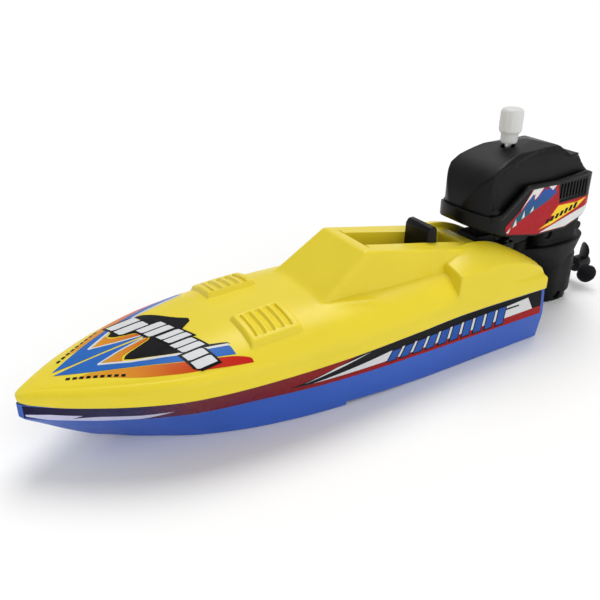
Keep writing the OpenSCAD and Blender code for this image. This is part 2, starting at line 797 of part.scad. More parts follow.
module propeller() {
    color(black) translate([0, 0, shaft_z]) difference() {
        union() {
            rotate([0, -90, 0]) rotate_extrude() polygon([[0, -hub_front], [hub_r, -hub_front],
                [hub_r, 56.2], [3.1, 57.6], [2, 59.1], [0.9, 59.8], [0, -hub_aft]]);
            for (i = [0:blades - 1]) rotate([-(blade_turn + 360 / blades * i), 0, 0]) blade();
        }
        translate([-57.1, 0, 0]) rotate([0, 90, 0]) cylinder(h = 20, r = shaft_r);
    }
}

module place() {
    translate([-origin_x, 0, 0]) children();
}

place() hull_shell();
place() deck_shell();
place() cockpit_tray();
place() seat();
place() transom_bracket();
place() bracket_screws();
place() hull_screws();
place() deck_sticker();
place() side_sticker_port();
place() side_sticker_starboard();
place() cowl_hood();
place() cowl_pan();
place() cowl_sticker_port();
place() cowl_sticker_starboard();
place() cowl_screws();
place() leg_port();
place() leg_starboard();
place() leg_screws();
place() swivel_pin();
place() shaft_bushing();
place() motor_plate_lower();
place() motor_plate_upper();
place() motor_pillars();
place() mainspring();
place() winding_knob();
place() winding_arbor();
place() great_wheel();
place() first_idler_shaft();
place() first_idler_gear();
place() second_idler_shaft();
place() second_idler_gear();
place() drive_shaft();
place() drive_pinion();
place() crown_wheel();
place() propeller_shaft();
place() shaft_pinion();
place() propeller();
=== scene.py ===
"""Looks of the wind-up toy speedboat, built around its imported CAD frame.

Shapes are worked out in millimetres in the boat's own axes: x from the transom to the bow, y to port
and z up from the bottom. place() turns them into the frame's metres.
"""

import math

import bmesh
import bpy
import numpy as np
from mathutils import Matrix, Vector


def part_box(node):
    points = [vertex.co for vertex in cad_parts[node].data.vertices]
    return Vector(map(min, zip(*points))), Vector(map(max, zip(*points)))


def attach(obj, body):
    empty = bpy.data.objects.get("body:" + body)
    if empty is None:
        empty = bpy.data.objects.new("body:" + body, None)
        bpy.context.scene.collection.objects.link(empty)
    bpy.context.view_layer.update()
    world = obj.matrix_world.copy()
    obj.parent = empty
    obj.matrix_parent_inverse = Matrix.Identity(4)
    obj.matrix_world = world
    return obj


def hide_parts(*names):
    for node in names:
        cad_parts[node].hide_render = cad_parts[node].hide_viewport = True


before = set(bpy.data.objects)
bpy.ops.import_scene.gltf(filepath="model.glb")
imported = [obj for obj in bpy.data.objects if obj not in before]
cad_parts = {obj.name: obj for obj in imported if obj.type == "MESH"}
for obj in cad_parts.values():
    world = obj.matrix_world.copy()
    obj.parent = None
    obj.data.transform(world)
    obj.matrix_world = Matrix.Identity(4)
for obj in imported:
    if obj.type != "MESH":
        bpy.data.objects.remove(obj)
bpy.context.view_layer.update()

# ---------- sizes, in millimetres ----------

MM = 0.001
# The deck's box and the transom's x are in the frame's metres
DECK_LOW, DECK_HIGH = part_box("deck_shell")
TRANSOM = DECK_LOW.x
BEAM_SHARE = 0.9992

LENGTH = (DECK_HIGH.x - DECK_LOW.x) / MM
HALF_BEAM = BEAM_SHARE * DECK_HIGH.y / MM
SEAM = 22.0
HULL_TOP = 21.9
KNUCKLE = 11.5
ARBOR_X = 2.0
SHAFT_Z = 10.4
COWL_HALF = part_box("cowl_pan")[1].y / MM

# Outlines along the boat: [share of the length, value]
PLAN = [[0, 0.891], [0.21, 0.888], [0.34, 0.947], [0.5, 1], [0.66, 0.967], [0.765, 0.868],
        [0.845, 0.679], [0.92, 0.42], [0.968, 0.212], [0.993, 0.086], [1, 0.03]]
CREST = [[0, 31.6], [0.126, 35.5], [0.24, 36.1], [0.5, 36.4], [0.58, 36], [0.663, 35],
         [0.765, 33], [0.845, 31], [0.92, 28.6], [0.974, 26.6], [1, 25.2]]
GUNWALE = [[0, 27], [0.8, 27], [0.92, 26.4], [1, 24.8]]
KNUCKLE_HALF = [[0, 27], [0.37, 26.8], [0.52, 25.4], [0.64, 22], [0.74, 18.6], [0.816, 13.6],
                [0.895, 8.2], [0.958, 4.2], [0.99, 1.6], [1, 0.5]]
BOTTOM_HALF = [[0, 25.2], [0.37, 26], [0.47, 25.4], [0.57, 23.4], [0.66, 19.8], [0.74, 14.3],
               [0.81, 6.8], [0.86, 1.4], [0.9, 0.6], [1, 0.4]]
STEM = [[0.842, 0], [0.884, 2.4], [0.929, 7.4], [0.972, 13.2], [0.992, 15.8], [1, 17.4]]
STEP_START, STEP_AT, STEP_RISE = 0.3, 0.479, 1.2
DECK_POWER = 4
SIDES = ((1, "port"), (-1, "starboard"))


def curve(s, points):
    """Smooth curve through the points, read at the shares s."""
    s = np.asarray(s, float)
    xs, ys = np.array(points, float).T
    last = len(xs) - 1
    before = np.maximum(np.arange(last + 1) - 1, 0)
    after = np.minimum(np.arange(last + 1) + 1, last)
    slopes = (ys[after] - ys[before]) / (xs[after] - xs[before])
    i = np.clip(np.searchsorted(xs, s, side="right") - 1, 0, last - 1)
    h = xs[i + 1] - xs[i]
    t = (s - xs[i]) / h
    return ((2 * t**3 - 3 * t**2 + 1) * ys[i] + (t**3 - 2 * t**2 + t) * h * slopes[i]
            + (3 * t**2 - 2 * t**3) * ys[i + 1] + (t**3 - t**2) * h * slopes[i + 1])


def half_width(x):
    return HALF_BEAM * curve(np.clip(np.asarray(x, float) / LENGTH, 0, 1), PLAN)


def smooth_step(t):
    t = np.clip(t, 0, 1)
    return t * t * (3 - 2 * t)


def smooth_max(a, b, k):
    h = np.maximum(k - np.abs(a - b), 0) / k
    return np.maximum(a, b) + h * h * k / 4


def smooth_min(a, b, k):
    return -smooth_max(-a, -b, k)


# ---------- meshes ----------


def place(points):
    """Points in the boat's millimetres as points of the frame, in metres."""
    return np.asarray(points, float) * MM + np.array([TRANSOM, 0, 0])


def linked(name, data):
    """A new object in the scene that holds the data."""
    obj = bpy.data.objects.new(name, data)
    bpy.context.scene.collection.objects.link(obj)
    return obj


def new_mesh(name, points, faces):
    """A mesh object from points in millimetres, with its normals turned outwards."""
    mesh = bpy.data.meshes.new(name)
    mesh.from_pydata(place(points).tolist(), [], [list(map(int, f)) for f in faces])
    bm = bmesh.new()
    bm.from_mesh(mesh)
    bmesh.ops.remove_doubles(bm, verts=bm.verts, dist=1e-7)
    bmesh.ops.recalc_face_normals(bm, faces=bm.faces)
    bm.to_mesh(mesh)
    bm.free()
    return linked(name, mesh)


def cad_copy(name, node):
    """A new object with a CAD node's shape, its flat faces whole again, ready for rounding."""
    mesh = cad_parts[node].data.copy()
    mesh.materials.clear()
    bm = bmesh.new()
    bm.from_mesh(mesh)
    bmesh.ops.remove_doubles(bm, verts=bm.verts, dist=1e-6)
    bmesh.ops.dissolve_limit(bm, angle_limit=math.radians(0.6), verts=bm.verts, edges=bm.edges)
    bm.to_mesh(mesh)
    bm.free()
    mesh.normals_split_custom_set_from_vertices([(0, 0, 0)] * len(mesh.vertices))
    return linked(name, mesh)


def apply_modifiers(obj):
    bpy.context.view_layer.update()
    evaluated = obj.evaluated_get(bpy.context.evaluated_depsgraph_get())
    mesh = bpy.data.meshes.new_from_object(evaluated)
    obj.modifiers.clear()
    obj.data = mesh
    return obj


def boolean(obj, tool, operation):
    """Applies a boolean with tool, which is used up."""
    modifier = obj.modifiers.new("cut", "BOOLEAN")
    modifier.object = tool
    modifier.operation = operation
    modifier.solver = "EXACT"
    apply_modifiers(obj)
    bpy.data.objects.remove(tool)
    return obj


BEVEL_SEGMENTS, BEVEL_ANGLE = 3, 28


def bevelled(obj, width):
    modifier = obj.modifiers.new("bevel", "BEVEL")
    modifier.width = width * MM
    modifier.segments = BEVEL_SEGMENTS
    modifier.limit_method = "ANGLE"
    modifier.angle_limit = math.radians(BEVEL_ANGLE)
    return apply_modifiers(obj)


def softened(obj, voxel, rounds, keep):
    """Rounds every edge of a closed solid: fine even faces, smoothed, then thinned to a share."""
    remesh = obj.modifiers.new("even", "REMESH")
    remesh.mode = "VOXEL"
    remesh.voxel_size = voxel * MM
    smooth = obj.modifiers.new("smooth", "SMOOTH")
    smooth.factor = 0.5
    smooth.iterations = rounds
    thin = obj.modifiers.new("thin", "DECIMATE")
    thin.ratio = keep
    return apply_modifiers(obj)


def smooth_shade(obj, angle):
    """Smooth shading, with the edges sharper than angle kept crisp."""
    bm = bmesh.new()
    bm.from_mesh(obj.data)
    limit = math.radians(angle)
    for edge in bm.edges:
        edge.smooth = len(edge.link_faces) == 2 and edge.calc_face_angle(0) < limit
    for face in bm.faces:
        face.smooth = True
    bm.to_mesh(obj.data)
    bm.free()


def finish_piece(obj, body, material, nodes=(), angle=35):
    """Shades the piece, gives it its material, ties it to its body and hides the CAD nodes that it stands
    for.
    """
    smooth_shade(obj, angle)
    obj.data.materials.clear()
    obj.data.materials.append(material)
    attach(obj, body)
    if nodes:
        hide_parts(*nodes)
    return obj


def ring_faces(rings, count, closed=True):
    """Quads between rings of count points each, the rings one after the other."""
    steps = count if closed else count - 1
    return [[i * count + j, i * count + (j + 1) % count, (i + 1) * count + (j + 1) % count,
             (i + 1) * count + j] for i in range(rings - 1) for j in range(steps)]


def loft(name, rings):
    """Closed solid through closed rings with the same number of points."""
    count = len(rings[0])
    faces = ring_faces(len(rings), count)
    faces += [list(range(count)), list(range(len(rings) * count - 1, (len(rings) - 1) * count - 1, -1))]
    return new_mesh(name, np.concatenate(rings), faces)


def prism(name, outline, low, high):
    """A side-view outline (x, z) as a solid from y = low to y = high."""
    outline = np.array(outline, float)
    rings = [np.column_stack([outline[:, 0], np.full(len(outline), y), outline[:, 1]])
             for y in (low, high)]
    return loft(name, rings)


def revolve(profile, segments, centre, axis="z", ripple=None):
    """Closed rings of a turned shape: profile is (radius, height) pairs along the axis."""
    angles = np.arange(segments) * 2 * math.pi / segments
    rings = []
    for radius, height in profile:
        r = np.full(segments, float(radius))
        if ripple is not None:
            r = r - ripple(angles, height)
        a, b, h = r * np.cos(angles), r * np.sin(angles), np.full(segments, float(height))
        ring = np.column_stack([a, b, h] if axis == "z" else [h, a, b])
        rings.append(ring + np.array(centre, float))
    return rings


def bent_corners(points, radius, steps):
    """An open (a, b) polyline with its inner corners rounded off."""
    points = [np.array(p, float) for p in points]
    result = [points[0]]
    for before, corner, after in zip(points, points[1:], points[2:]):
        d0, d1 = before - corner, after - corner
        reach = min(radius, 0.45 * np.linalg.norm(d0), 0.45 * np.linalg.norm(d1))
        p0 = corner + d0 / max(np.linalg.norm(d0), 1e-9) * reach
        p1 = corner + d1 / max(np.linalg.norm(d1), 1e-9) * reach
        for t in np.linspace(0, 1, steps):
            result.append((1 - t) ** 2 * p0 + 2 * t * (1 - t) * corner + t * t * p1)
    result.append(points[-1])
    return np.array(result)


def spaced(low, high, marks, coarse, fine, reach):
    """Stations from low to high, close together near the marks and passing through each."""
    marks = np.array(sorted(marks))
    stations = [low]
    while stations[-1] < high:
        gap = np.abs(marks - stations[-1]).min()
        stations.append(stations[-1] + fine + (coarse - fine) * min(1, gap / reach))
    room = 0.4 * fine
    stations = [x for x in stations if x < high - room and np.abs(marks - x).min() > room]
    return np.array(sorted(set(stations) | set(marks) | {low, high}))


# ---------- materials ----------

# Noise scales per metre, then depths in millimetres
FLOW_MARKS, DULL_PATCHES, MOULD_RIPPLES, MOULD_GRAIN = 38, 160, 210, 4200
DRAWING_MARKS, DULL_SPOTS = 2600, 500
INK_BLOTS, INK_DOTS, FILM_PATCHES, FILM_RIPPLES = 120, 5200, 240, 330
RIPPLE_DEPTH, DRAWING_DEPTH, FILM_DEPTH = 0.02, 0.012, 0.006
# Share of the dots in a printed film's colour, its roughness and its specular level
DOT_SHARE, FILM_ROUGHNESS, FILM_SPECULAR = 0.25, 0.28, 0.08


def shade(colour, factor):
    return tuple(min(1.0, c * factor) for c in colour)


def linear(red, green, blue):
    """A display colour, 0 to 255, as the linear colour that shaders take."""
    def one(c):
        c = c / 255
        return c / 12.92 if c <= 0.04045 else ((c + 0.055) / 1.055) ** 2.4
    return one(red), one(green), one(blue)


class Nodes:
    """Builds the node tree of a material or a world."""

    def __init__(self, owner, shader="Principled BSDF", place="Object"):
        owner.use_nodes = True
        self.owner = owner
        self.tree = owner.node_tree
        self.shader = self.tree.nodes[shader]
        self.place = self.add("TexCoord", {}, place)

    def fill(self, node, inputs):
        """Links each input that is given another node's output, and sets the others."""
        for name, value in inputs.items():
            if isinstance(value, bpy.types.NodeSocket):
                self.tree.links.new(value, node.inputs[name])
            else:
                node.inputs[name].default_value = value

    def add(self, kind, inputs, output):
        """A new node's output."""
        node = self.tree.nodes.new("ShaderNode" + kind)
        self.fill(node, inputs)
        return node.outputs[output]

    def finish(self, inputs):
        """Fills the shader, and gives the finished material or world."""
        self.fill(self.shader, inputs)
        return self.owner

    def noise(self, scale, detail, stretch=None):
        source = self.place
        if stretch:
            source = self.add("Mapping", {"Scale": stretch, "Vector": source}, "Vector")
        return self.add("TexNoise", {"Scale": scale, "Detail": detail, "Vector": source}, "Fac")

    def ramp(self, factor, stops):
        """Colours or greys at positions from 0 to 1 along the factor."""
        node = self.tree.nodes.new("ShaderNodeValToRGB")
        elements = node.color_ramp.elements
        while len(elements) < len(stops):
            elements.new(0.5)
        for element, (position, value) in zip(elements, stops):
            element.position = position
            element.color = (*value, 1) if isinstance(value, tuple) else (value, value, value, 1)
        self.fill(node, {"Fac": factor})
        return node.outputs["Color"]

    def along(self, axis, low, high):
        """0 to 1 from low to high metres along an axis of the frame."""
        place = self.add("SeparateXYZ", {0: self.place}, axis)
        return self.add("MapRange", {"From Min": low, "From Max": high, "Value": place}, "Result")

    def bump(self, height, depth, **under):
        """A bump as deep as depth millimetres, on top of another one where Normal gives it."""
        return self.add("Bump", {"Distance": depth * MM, "Height": height, **under}, "Normal")


def plastic(name, colour, roughness, vary, grain=0.012, specular=0.5):
    """Moulded plastic: faint flow marks in the colour, a fine grain and slow ripples of the mould."""
    n = Nodes(bpy.data.materials.new(name))
    colour = linear(*colour)
    flow = n.noise(FLOW_MARKS, 4, (1, 1.6, 1.6))
    ripple = n.bump(n.noise(MOULD_RIPPLES, 2), RIPPLE_DEPTH)
    return n.finish({
        "Base Color": n.ramp(flow, [(0.3, shade(colour, 1 - vary)), (0.7, shade(colour, 1 + vary))]),
        "Roughness": n.ramp(n.noise(DULL_PATCHES, 5), [(0.3, roughness - 0.05), (0.75, roughness + 0.07)]),
        "Normal": n.bump(n.noise(MOULD_GRAIN, 3), grain, Normal=ripple),
        "Specular IOR Level": specular})


def metal(name, colour, roughness, brushed):
    """Metal with fine drawing marks and a few dull spots."""
    n = Nodes(bpy.data.materials.new(name))
    colour = linear(*colour)
    marks = n.noise(DRAWING_MARKS, 4, brushed)
    return n.finish({
        "Base Color": n.ramp(marks, [(0.25, shade(colour, 0.86)), (0.75, colour)]),
        "Roughness": n.ramp(n.noise(DULL_SPOTS, 4), [(0.3, roughness - 0.06), (0.8, roughness + 0.12)]),
        "Normal": n.bump(marks, DRAWING_DEPTH),
        "Metallic": 1.0})


def printed(name, *colours, along=None):
    """Printed film: one ink, or (share, colour) inks that run into each other along (axis, low, high)."""
    n = Nodes(bpy.data.materials.new(name))
    if along is None:
        colour = linear(*colours)
        ink = n.ramp(n.noise(INK_BLOTS, 4), [(0.25, shade(colour, 0.93)), (0.75, shade(colour, 1.05))])
    else:
        ink = n.ramp(n.along(*along), [(share, linear(*colour)) for share, colour in colours])
    dots = n.ramp(n.noise(INK_DOTS, 1), [(0.35, 0.9), (0.65, 1.0)])
    tint = n.tree.nodes.new("ShaderNodeMix")
    tint.data_type = "RGBA"
    tint.blend_type = "MULTIPLY"
    # Sockets 6 and 7 take the two colours, and 2 gives the mixed one
    n.fill(tint, {"Factor": DOT_SHARE, 6: ink, 7: dots})
    return n.finish({
        "Base Color": tint.outputs[2],
        "Roughness": n.ramp(n.noise(FILM_PATCHES, 5),
                            [(0.3, FILM_ROUGHNESS - 0.05), (0.75, FILM_ROUGHNESS + 0.08)]),
        "Normal": n.bump(n.noise(FILM_RIPPLES, 3), FILM_DEPTH),
        "Specular IOR Level": FILM_SPECULAR})


deck_plastic = plastic("deck_plastic", (223, 202, 42), 0.36, 0.03, specular=0.32)
hull_plastic = plastic("hull_plastic", (44, 86, 176), 0.38, 0.06, specular=0.35)
black_plastic = plastic("black_plastic", (11, 11, 13), 0.4, 0.14, grain=0.02, specular=0.16)
leg_plastic = plastic("leg_plastic", (13, 14, 14), 0.5, 0.14, grain=0.02, specular=0.12)
propeller_plastic = plastic("propeller_plastic", (17, 18, 21), 0.44, 0.14, grain=0.018, specular=0.2)
knob_plastic = plastic("knob_plastic", (208, 208, 206), 0.42, 0.03, specular=0.3)
gear_plastic = plastic("gear_plastic", (226, 224, 214), 0.38, 0.04)
steel_metal = metal("steel_metal", (196, 198, 202), 0.28, (1, 1, 7))
blackened_metal = metal("blackened_metal", (34, 34, 36), 0.42, (1, 1, 7))
spring_metal = metal("spring_metal", (150, 152, 160), 0.24, (1, 1, 9))
brass_metal = metal("brass_metal", (208, 172, 98), 0.26, (7, 1, 1))

# ---------- hull ----------

HULL_SKIN, BOW_SKIN = 1.6, 2.2
SIDE_INSET, HULL_BEND_R = 0.7, 1.1
KNUCKLE_RISE, KNUCKLE_RISE_FROM, KNUCKLE_RISE_OVER = 5.4, 0.8, 0.2
SCREWS = [(30, 17), (30, -17), (138, 9), (138, -9)]
# Screw pocket: (radius, height)
POCKET = [(2.2, -1), (2.2, 3.2)]


def keel_height(s):
    """The bottom's height at share s: flat aft, up to the planing step, flat again, then up the stem."""
    rise = np.where((s >= STEP_START) & (s < STEP_AT),
                    STEP_RISE * (s - STEP_START) / (STEP_AT - STEP_START), 0)
    return np.where(s >= STEM[0][0], curve(np.maximum(s, STEM[0][0]), STEM), rise)


def knuckle_height(s):
    ahead = np.maximum(0, (np.asarray(s, float) - KNUCKLE_RISE_FROM) / KNUCKLE_RISE_OVER)
    return KNUCKLE + KNUCKLE_RISE * ahead**1.5


def side_half(x, z):
    """Half-width of the hull's side between the knuckle and the seam."""
    s = np.asarray(x, float) / LENGTH
    k = knuckle_height(s)
    low, high = curve(s, KNUCKLE_HALF), half_width(x) - SIDE_INSET
    return low + (high - low) * (z - k) / (HULL_TOP - k)


def hull_section(x):
    """The hull's outline at one station, from the seam on port down and round to starboard."""
    s = x / LENGTH
    z_low = float(keel_height(s))
    k = max(float(knuckle_height(s)), z_low + 0.6)
    y_top = max(float(half_width(x)) - SIDE_INSET, 0.3)
    y_mid = max(float(curve(s, KNUCKLE_HALF)), 0.25)
    y_low = max(float(curve(s, BOTTOM_HALF)), 0.2)
    port = bent_corners([(y_top, HULL_TOP), (y_mid, k), (y_low, z_low), (0, z_low)], HULL_BEND_R, 6)
    side = [port[0] + (port[1] - port[0]) * t for t in np.linspace(0, 0.9, 5)]
    foot = [port[-2] + (port[-1] - port[-2]) * t for t in np.linspace(0.2, 1, 5)]
    port = np.vstack([side, port[1:-1], foot])
    ring = np.vstack([port, (port * [-1, 1])[-2::-1]])
    return np.column_stack([np.full(len(ring), x), ring])


def hull():
    """The hull moulding: an outer and an inner skin, joined along the seam, with screw pockets."""
    step_x = STEP_AT * LENGTH
    marks = [0.6, step_x - 0.3, step_x, LENGTH - 1]
    stations = spaced(0, LENGTH, marks, coarse=2.4, fine=0.3, reach=6)
    rings = [hull_section(x) for x in stations]
    count = len(rings[0])
    outer = np.concatenate(rings)
    # Inner skin: every point moved inwards, by less where the bow gets narrow
    skin = np.minimum(HULL_SKIN, 0.35 * half_width(outer[:, 0]))
    inner = outer.copy()
    inner[:, 0] = np.clip(outer[:, 0], HULL_SKIN, LENGTH - BOW_SKIN)
    side = np.maximum(np.abs(outer[:, 1]) / np.maximum(half_width(outer[:, 0]), 0.5), 0.02)
    inner[:, 1] -= (np.sign(outer[:, 1]) * np.minimum(skin, 0.8 * np.abs(outer[:, 1]))
                    * np.minimum(side * 1.6, 1))
    upward = np.clip((HULL_TOP - outer[:, 2]) / 6, 0, 1)
    inner[:, 2] += skin * upward
    total = len(outer)
    faces = ring_faces(len(rings), count, closed=False)
    faces += [[total + v for v in reversed(f)] for f in faces]
    edge = [i * count for i in range(len(rings))]
    for column in (0, count - 1):
        rim = [i + column for i in edge]
        faces += [[a, b, total + b, total + a] for a, b in zip(rim, rim[1:])]
    for start in (0, (len(rings) - 1) * count):
        cap = list(range(start, start + count))
        # Transom and bow: flat ends inside and out, joined along the seam
        half = count // 2
        for offset in (0, total):
            faces += [[offset + cap[j], offset + cap[j + 1], offset + cap[-j - 2], offset + cap[-j - 1]]
                      for j in range(half)]
        faces += [[cap[0], cap[-1], total + cap[-1], total + cap[0]]]
    obj = new_mesh("hull", np.vstack([outer, inner]), faces)
    for i, (x, y) in enumerate(SCREWS):
        pocket = loft(f"pocket_{i}", revolve(POCKET, 40, (x, y, 0)))
        boolean(obj, pocket, "DIFFERENCE")
    return finish_piece(obj, "boat", hull_plastic, ["hull_shell"], 28)


# ---------- deck ----------

DECK_SKIN = 1.5
COAMING_TOP, COAMING_HALF, COAMING_DRAFT = 49.3, 13.3, 0.16
WINDSHIELD_X, WINDSHIELD_SLOPE, COAMING_SLOPE = 76.4, 0.695, 0.19
COAMING_AFT, COAMING_AFT_TOP = 20.0, 37.5
WINDSHIELD_FOOT_X = 104.2
EDGE_R = 1.1
OPENING_AFT, OPENING_FRONT = 27.0, 72.0
OPENING_FOOT = 27.6
RIM_R = 0.7
# Aft hump: [x, height at its inner edge, height at its outer edge]
HUMP = [[0, 31.2, 29.3], [7, 35.2, 32.6], [15, 39, 34.9], [22, 41, 35.8], [30, 41.6, 35.8],
        [38, 39.8, 35.8], [42.5, 38.2, 36], [46, 38.2, 36]]
HUMP_INNER, HUMP_OUTER, HUMP_FRONT = 11.2, 24.4, 42.6
HUMP_CROWN, HUMP_WALL, HUMP_INSIDE = 3.4, 5.5, 3.5
SCALLOP_DEPTH, SCALLOP_PITCH, SCALLOP_REACH = 0.32, 2.9, 0.7
VENT_AFT, VENT_FRONT, VENT_INNER, VENT_OUTER, VENT_RISE = 106.6, 125.0, 8.2, 23.3, 1.6
SLATS = [109.4, 112.6, 115.8, 119.0, 122.2]
SLAT_DEPTH, SLAT_RISE, SLAT_FALL = 0.95, 0.78, 0.22
RIDGE_RISE, RIDGE_Y, RIDGE_TURN, RIDGE_HALF, RIDGE_X, RIDGE_REACH = 0.45, 21.2, 4.6, 1.7, 84, 9
EDGE_LINE_DEPTH, EDGE_LINE_IN, EDGE_LINE_HALF, EDGE_LINE_FROM = 0.22, 2.9, 0.55, 95
END_R = 0.9
EDGE_INSET, OPENING_WALL = 0.35, 1.2
# Distance from the bow, and how many times the tip ahead of it is smoothed
TIP_ROUNDS = ((7, 4), (4.5, 6), (2.5, 8))
TIP_EDGE_Z = SEAM + 1.5


def opening_half(x):
    return np.interp(x, [OPENING_AFT, OPENING_FRONT], [8.0, 8.8])


def coaming_crest(x):
    """Height of the coaming's top and windshield along the middle."""
    top = smooth_min(COAMING_TOP - COAMING_SLOPE * (WINDSHIELD_X - x),
                     COAMING_TOP - WINDSHIELD_SLOPE * (x - WINDSHIELD_X), 0.9)
    return smooth_min(top, COAMING_AFT_TOP + 7 * (x - COAMING_AFT), 1.2)


def coaming_edge(x):
    """Half-widths of the coaming's top corner, as if it were sharp, and of its rounding's centre."""
    crest = coaming_crest(np.clip(x, COAMING_AFT, WINDSHIELD_FOOT_X))
    corner = COAMING_HALF + COAMING_DRAFT * (COAMING_TOP - crest)
    centre = corner + EDGE_R * (COAMING_DRAFT - math.hypot(1, COAMING_DRAFT))
    return corner, centre


def coaming_height(x, y):
    corner, centre = coaming_edge(x)
    top = coaming_crest(x)
    side = top - (y - corner) / COAMING_DRAFT
    arc = top - EDGE_R + np.sqrt(np.maximum(EDGE_R**2 - (y - centre) ** 2, 0))
    tangent = centre + EDGE_R / math.hypot(1, COAMING_DRAFT)
    return np.where(y < centre, top, np.where(y < tangent, arc, side))


def deck_skin(x, y):
    """Height of the plain crowned deck."""
    s = np.clip(x / LENGTH, 0, 1)
    low = curve(s, GUNWALE)
    share = np.clip(y / half_width(x), 0, 1)
    return low + (curve(s, CREST) - low) * (1 - share**DECK_POWER)


def hump_height(x, y):
    """Height of the aft hump: a crowned top with sloping walls, scalloped at the transom."""
    table = np.array(HUMP)
    xs = table[:, 0] / table[-1, 0]
    inner = curve(x / table[-1, 0], np.column_stack([xs, table[:, 1]]))
    outer = curve(x / table[-1, 0], np.column_stack([xs, table[:, 2]]))
    t = np.clip((y - HUMP_INNER) / (HUMP_OUTER - HUMP_INNER), 0, 1)
    top = inner + (outer - inner) * t + HUMP_CROWN * t * (1 - t)
    wall = outer - HUMP_WALL * (y - HUMP_OUTER)
    front = top - HUMP_WALL * (x - HUMP_FRONT)
    inside = top + HUMP_INSIDE * (y - HUMP_INNER)
    waves = 0.5 - 0.5 * np.cos(2 * math.pi * y / SCALLOP_PITCH)
    scallops = SCALLOP_DEPTH * waves * np.exp(-x / SCALLOP_REACH)
    return smooth_min(smooth_min(smooth_min(top, wall, 2.2), front, 2.8), inside, 1.2) - scallops


def vent_height(x, y):
    """Raised vent pad with its row of slats, as a rise above the deck."""
    edge = np.minimum.reduce([x - VENT_AFT, VENT_FRONT - x, y - VENT_INNER, VENT_OUTER - y])
    pad = VENT_RISE * smooth_step(edge / 0.9)
    pitch = SLATS[1] - SLATS[0]
    t = (x - SLATS[0]) / pitch
    inside = smooth_step((x - SLATS[0] + 0.3) / 0.5) * smooth_step((SLATS[-1] + 0.3 - x) / 0.5)
    inside = inside * smooth_step((y - VENT_INNER - 1.3) / 0.8) * smooth_step((VENT_OUTER - 1.9 - y) / 0.8)
    phase = t - np.floor(t)
    saw = np.where(phase < SLAT_RISE, phase / SLAT_RISE, (1 - phase) / SLAT_FALL)
    return pad - SLAT_DEPTH * inside * (1 - smooth_step(saw))


def swell(x, y):
    """Soft swell of the deck beside the windshield, and the shallow line inside the bow's edge."""
    t = np.clip((x - 74) / 20, 0, 1)
    across = np.exp(-((y - (RIDGE_Y - RIDGE_TURN * t)) / RIDGE_HALF) ** 2)
    ridge = RIDGE_RISE * across * np.exp(-((x - RIDGE_X) / RIDGE_REACH) ** 4)
    inset = half_width(x) - y
    groove = np.exp(-((inset - EDGE_LINE_IN) / EDGE_LINE_HALF) ** 2)
    return ridge - EDGE_LINE_DEPTH * groove * smooth_step((x - EDGE_LINE_FROM) / 30)


def deck_height(x, y):
    """Height of the whole deck moulding at (x, y), the same on both sides."""
    y = np.abs(y)
    ground = deck_skin(x, y) + swell(x, y) + vent_height(x, y)
    past = HUMP_FRONT + 3
    ground = smooth_max(ground, hump_height(np.minimum(x, past), y) - 30 * (x > past), 0.9)
    height = smooth_max(ground, coaming_height(x, y), 1.0)
    outside = np.maximum.reduce([OPENING_AFT - x, x - OPENING_FRONT, y - opening_half(x)])
    near = np.clip(RIM_R - outside, 0, RIM_R)
    height = height - (RIM_R - np.sqrt(RIM_R**2 - near**2)) * (outside > -1e-6)
    end = np.clip(END_R - np.minimum(x, LENGTH - x), 0, END_R)
    return height - (END_R - np.sqrt(END_R**2 - end**2)) * 0.8


def deck_columns(x):
    """The |y| of the deck's mesh lines at station x, close together along the edges of its shapes."""
    b = float(half_width(x))
    lip = min(float(np.interp(x, [0, 46, 70], [1.1, 1.2, 1.9])), 0.4 * b)
    corner, centre = coaming_edge(x)
    ground = float(deck_skin(np.clip(x, COAMING_AFT, WINDSHIELD_FOOT_X), corner))
    foot = COAMING_HALF + COAMING_DRAFT * (COAMING_TOP - ground)
    cabin = [float(opening_half(x)), float(centre), float(centre) + EDGE_R,
             max(foot, centre + EDGE_R + 0.2) + 0.5]
    vent = [VENT_INNER - 0.1, VENT_INNER + 1, VENT_INNER + 2.2, 14]
    w = float(smooth_step((x - WINDSHIELD_FOOT_X + 1) / 4))
    marks = [(1 - w) * c + w * v for c, v in zip(cabin, vent)]
    w = float(smooth_step((x - 50) / 40))
    marks += [(1 - w) * c + w * v for c, v in zip([23.4, 24.6, 25.7], [21.2, 22.4, 23.5])]
    limits = [0.24, 0.38, 0.44, 0.54, 0.86, 0.92, 0.98]
    marks = [0.0] + [min(m, f * (b - lip)) for m, f in zip(marks, limits)] + [b - lip]
    counts = [7, 7, 7, 9, 11, 5, 5, 4]
    lines = [0.0]
    for low, high, count in zip(marks, marks[1:], counts):
        lines += list(low + (high - low) * np.arange(1, count + 1) / count)
    return np.array(lines), b, lip, counts[0]


def deck_row(x):
    """One crosswise line of the deck's outer surface, port lip to starboard lip."""
    lines, b, lip, opening = deck_columns(x)
    top = deck_height(np.full(len(lines), x), lines)
    end = np.array([lines[-1], top[-1]])
    gunwale = float(curve(min(x / LENGTH, 1), GUNWALE))
    corner = np.array([b, gunwale + 0.35])
    foot = np.array([b, gunwale - 1.5 * min(1, lip)])
    t = np.linspace(0, 1, 8)[1:, None]
    roll = (1 - t) ** 2 * end + 2 * t * (1 - t) * corner + t * t * foot
    half = np.vstack([np.column_stack([lines, top]), roll])
    row = np.vstack([half[::-1], (half * [-1, 1])[1:]])
    return np.column_stack([np.full(len(row), x), row]), opening


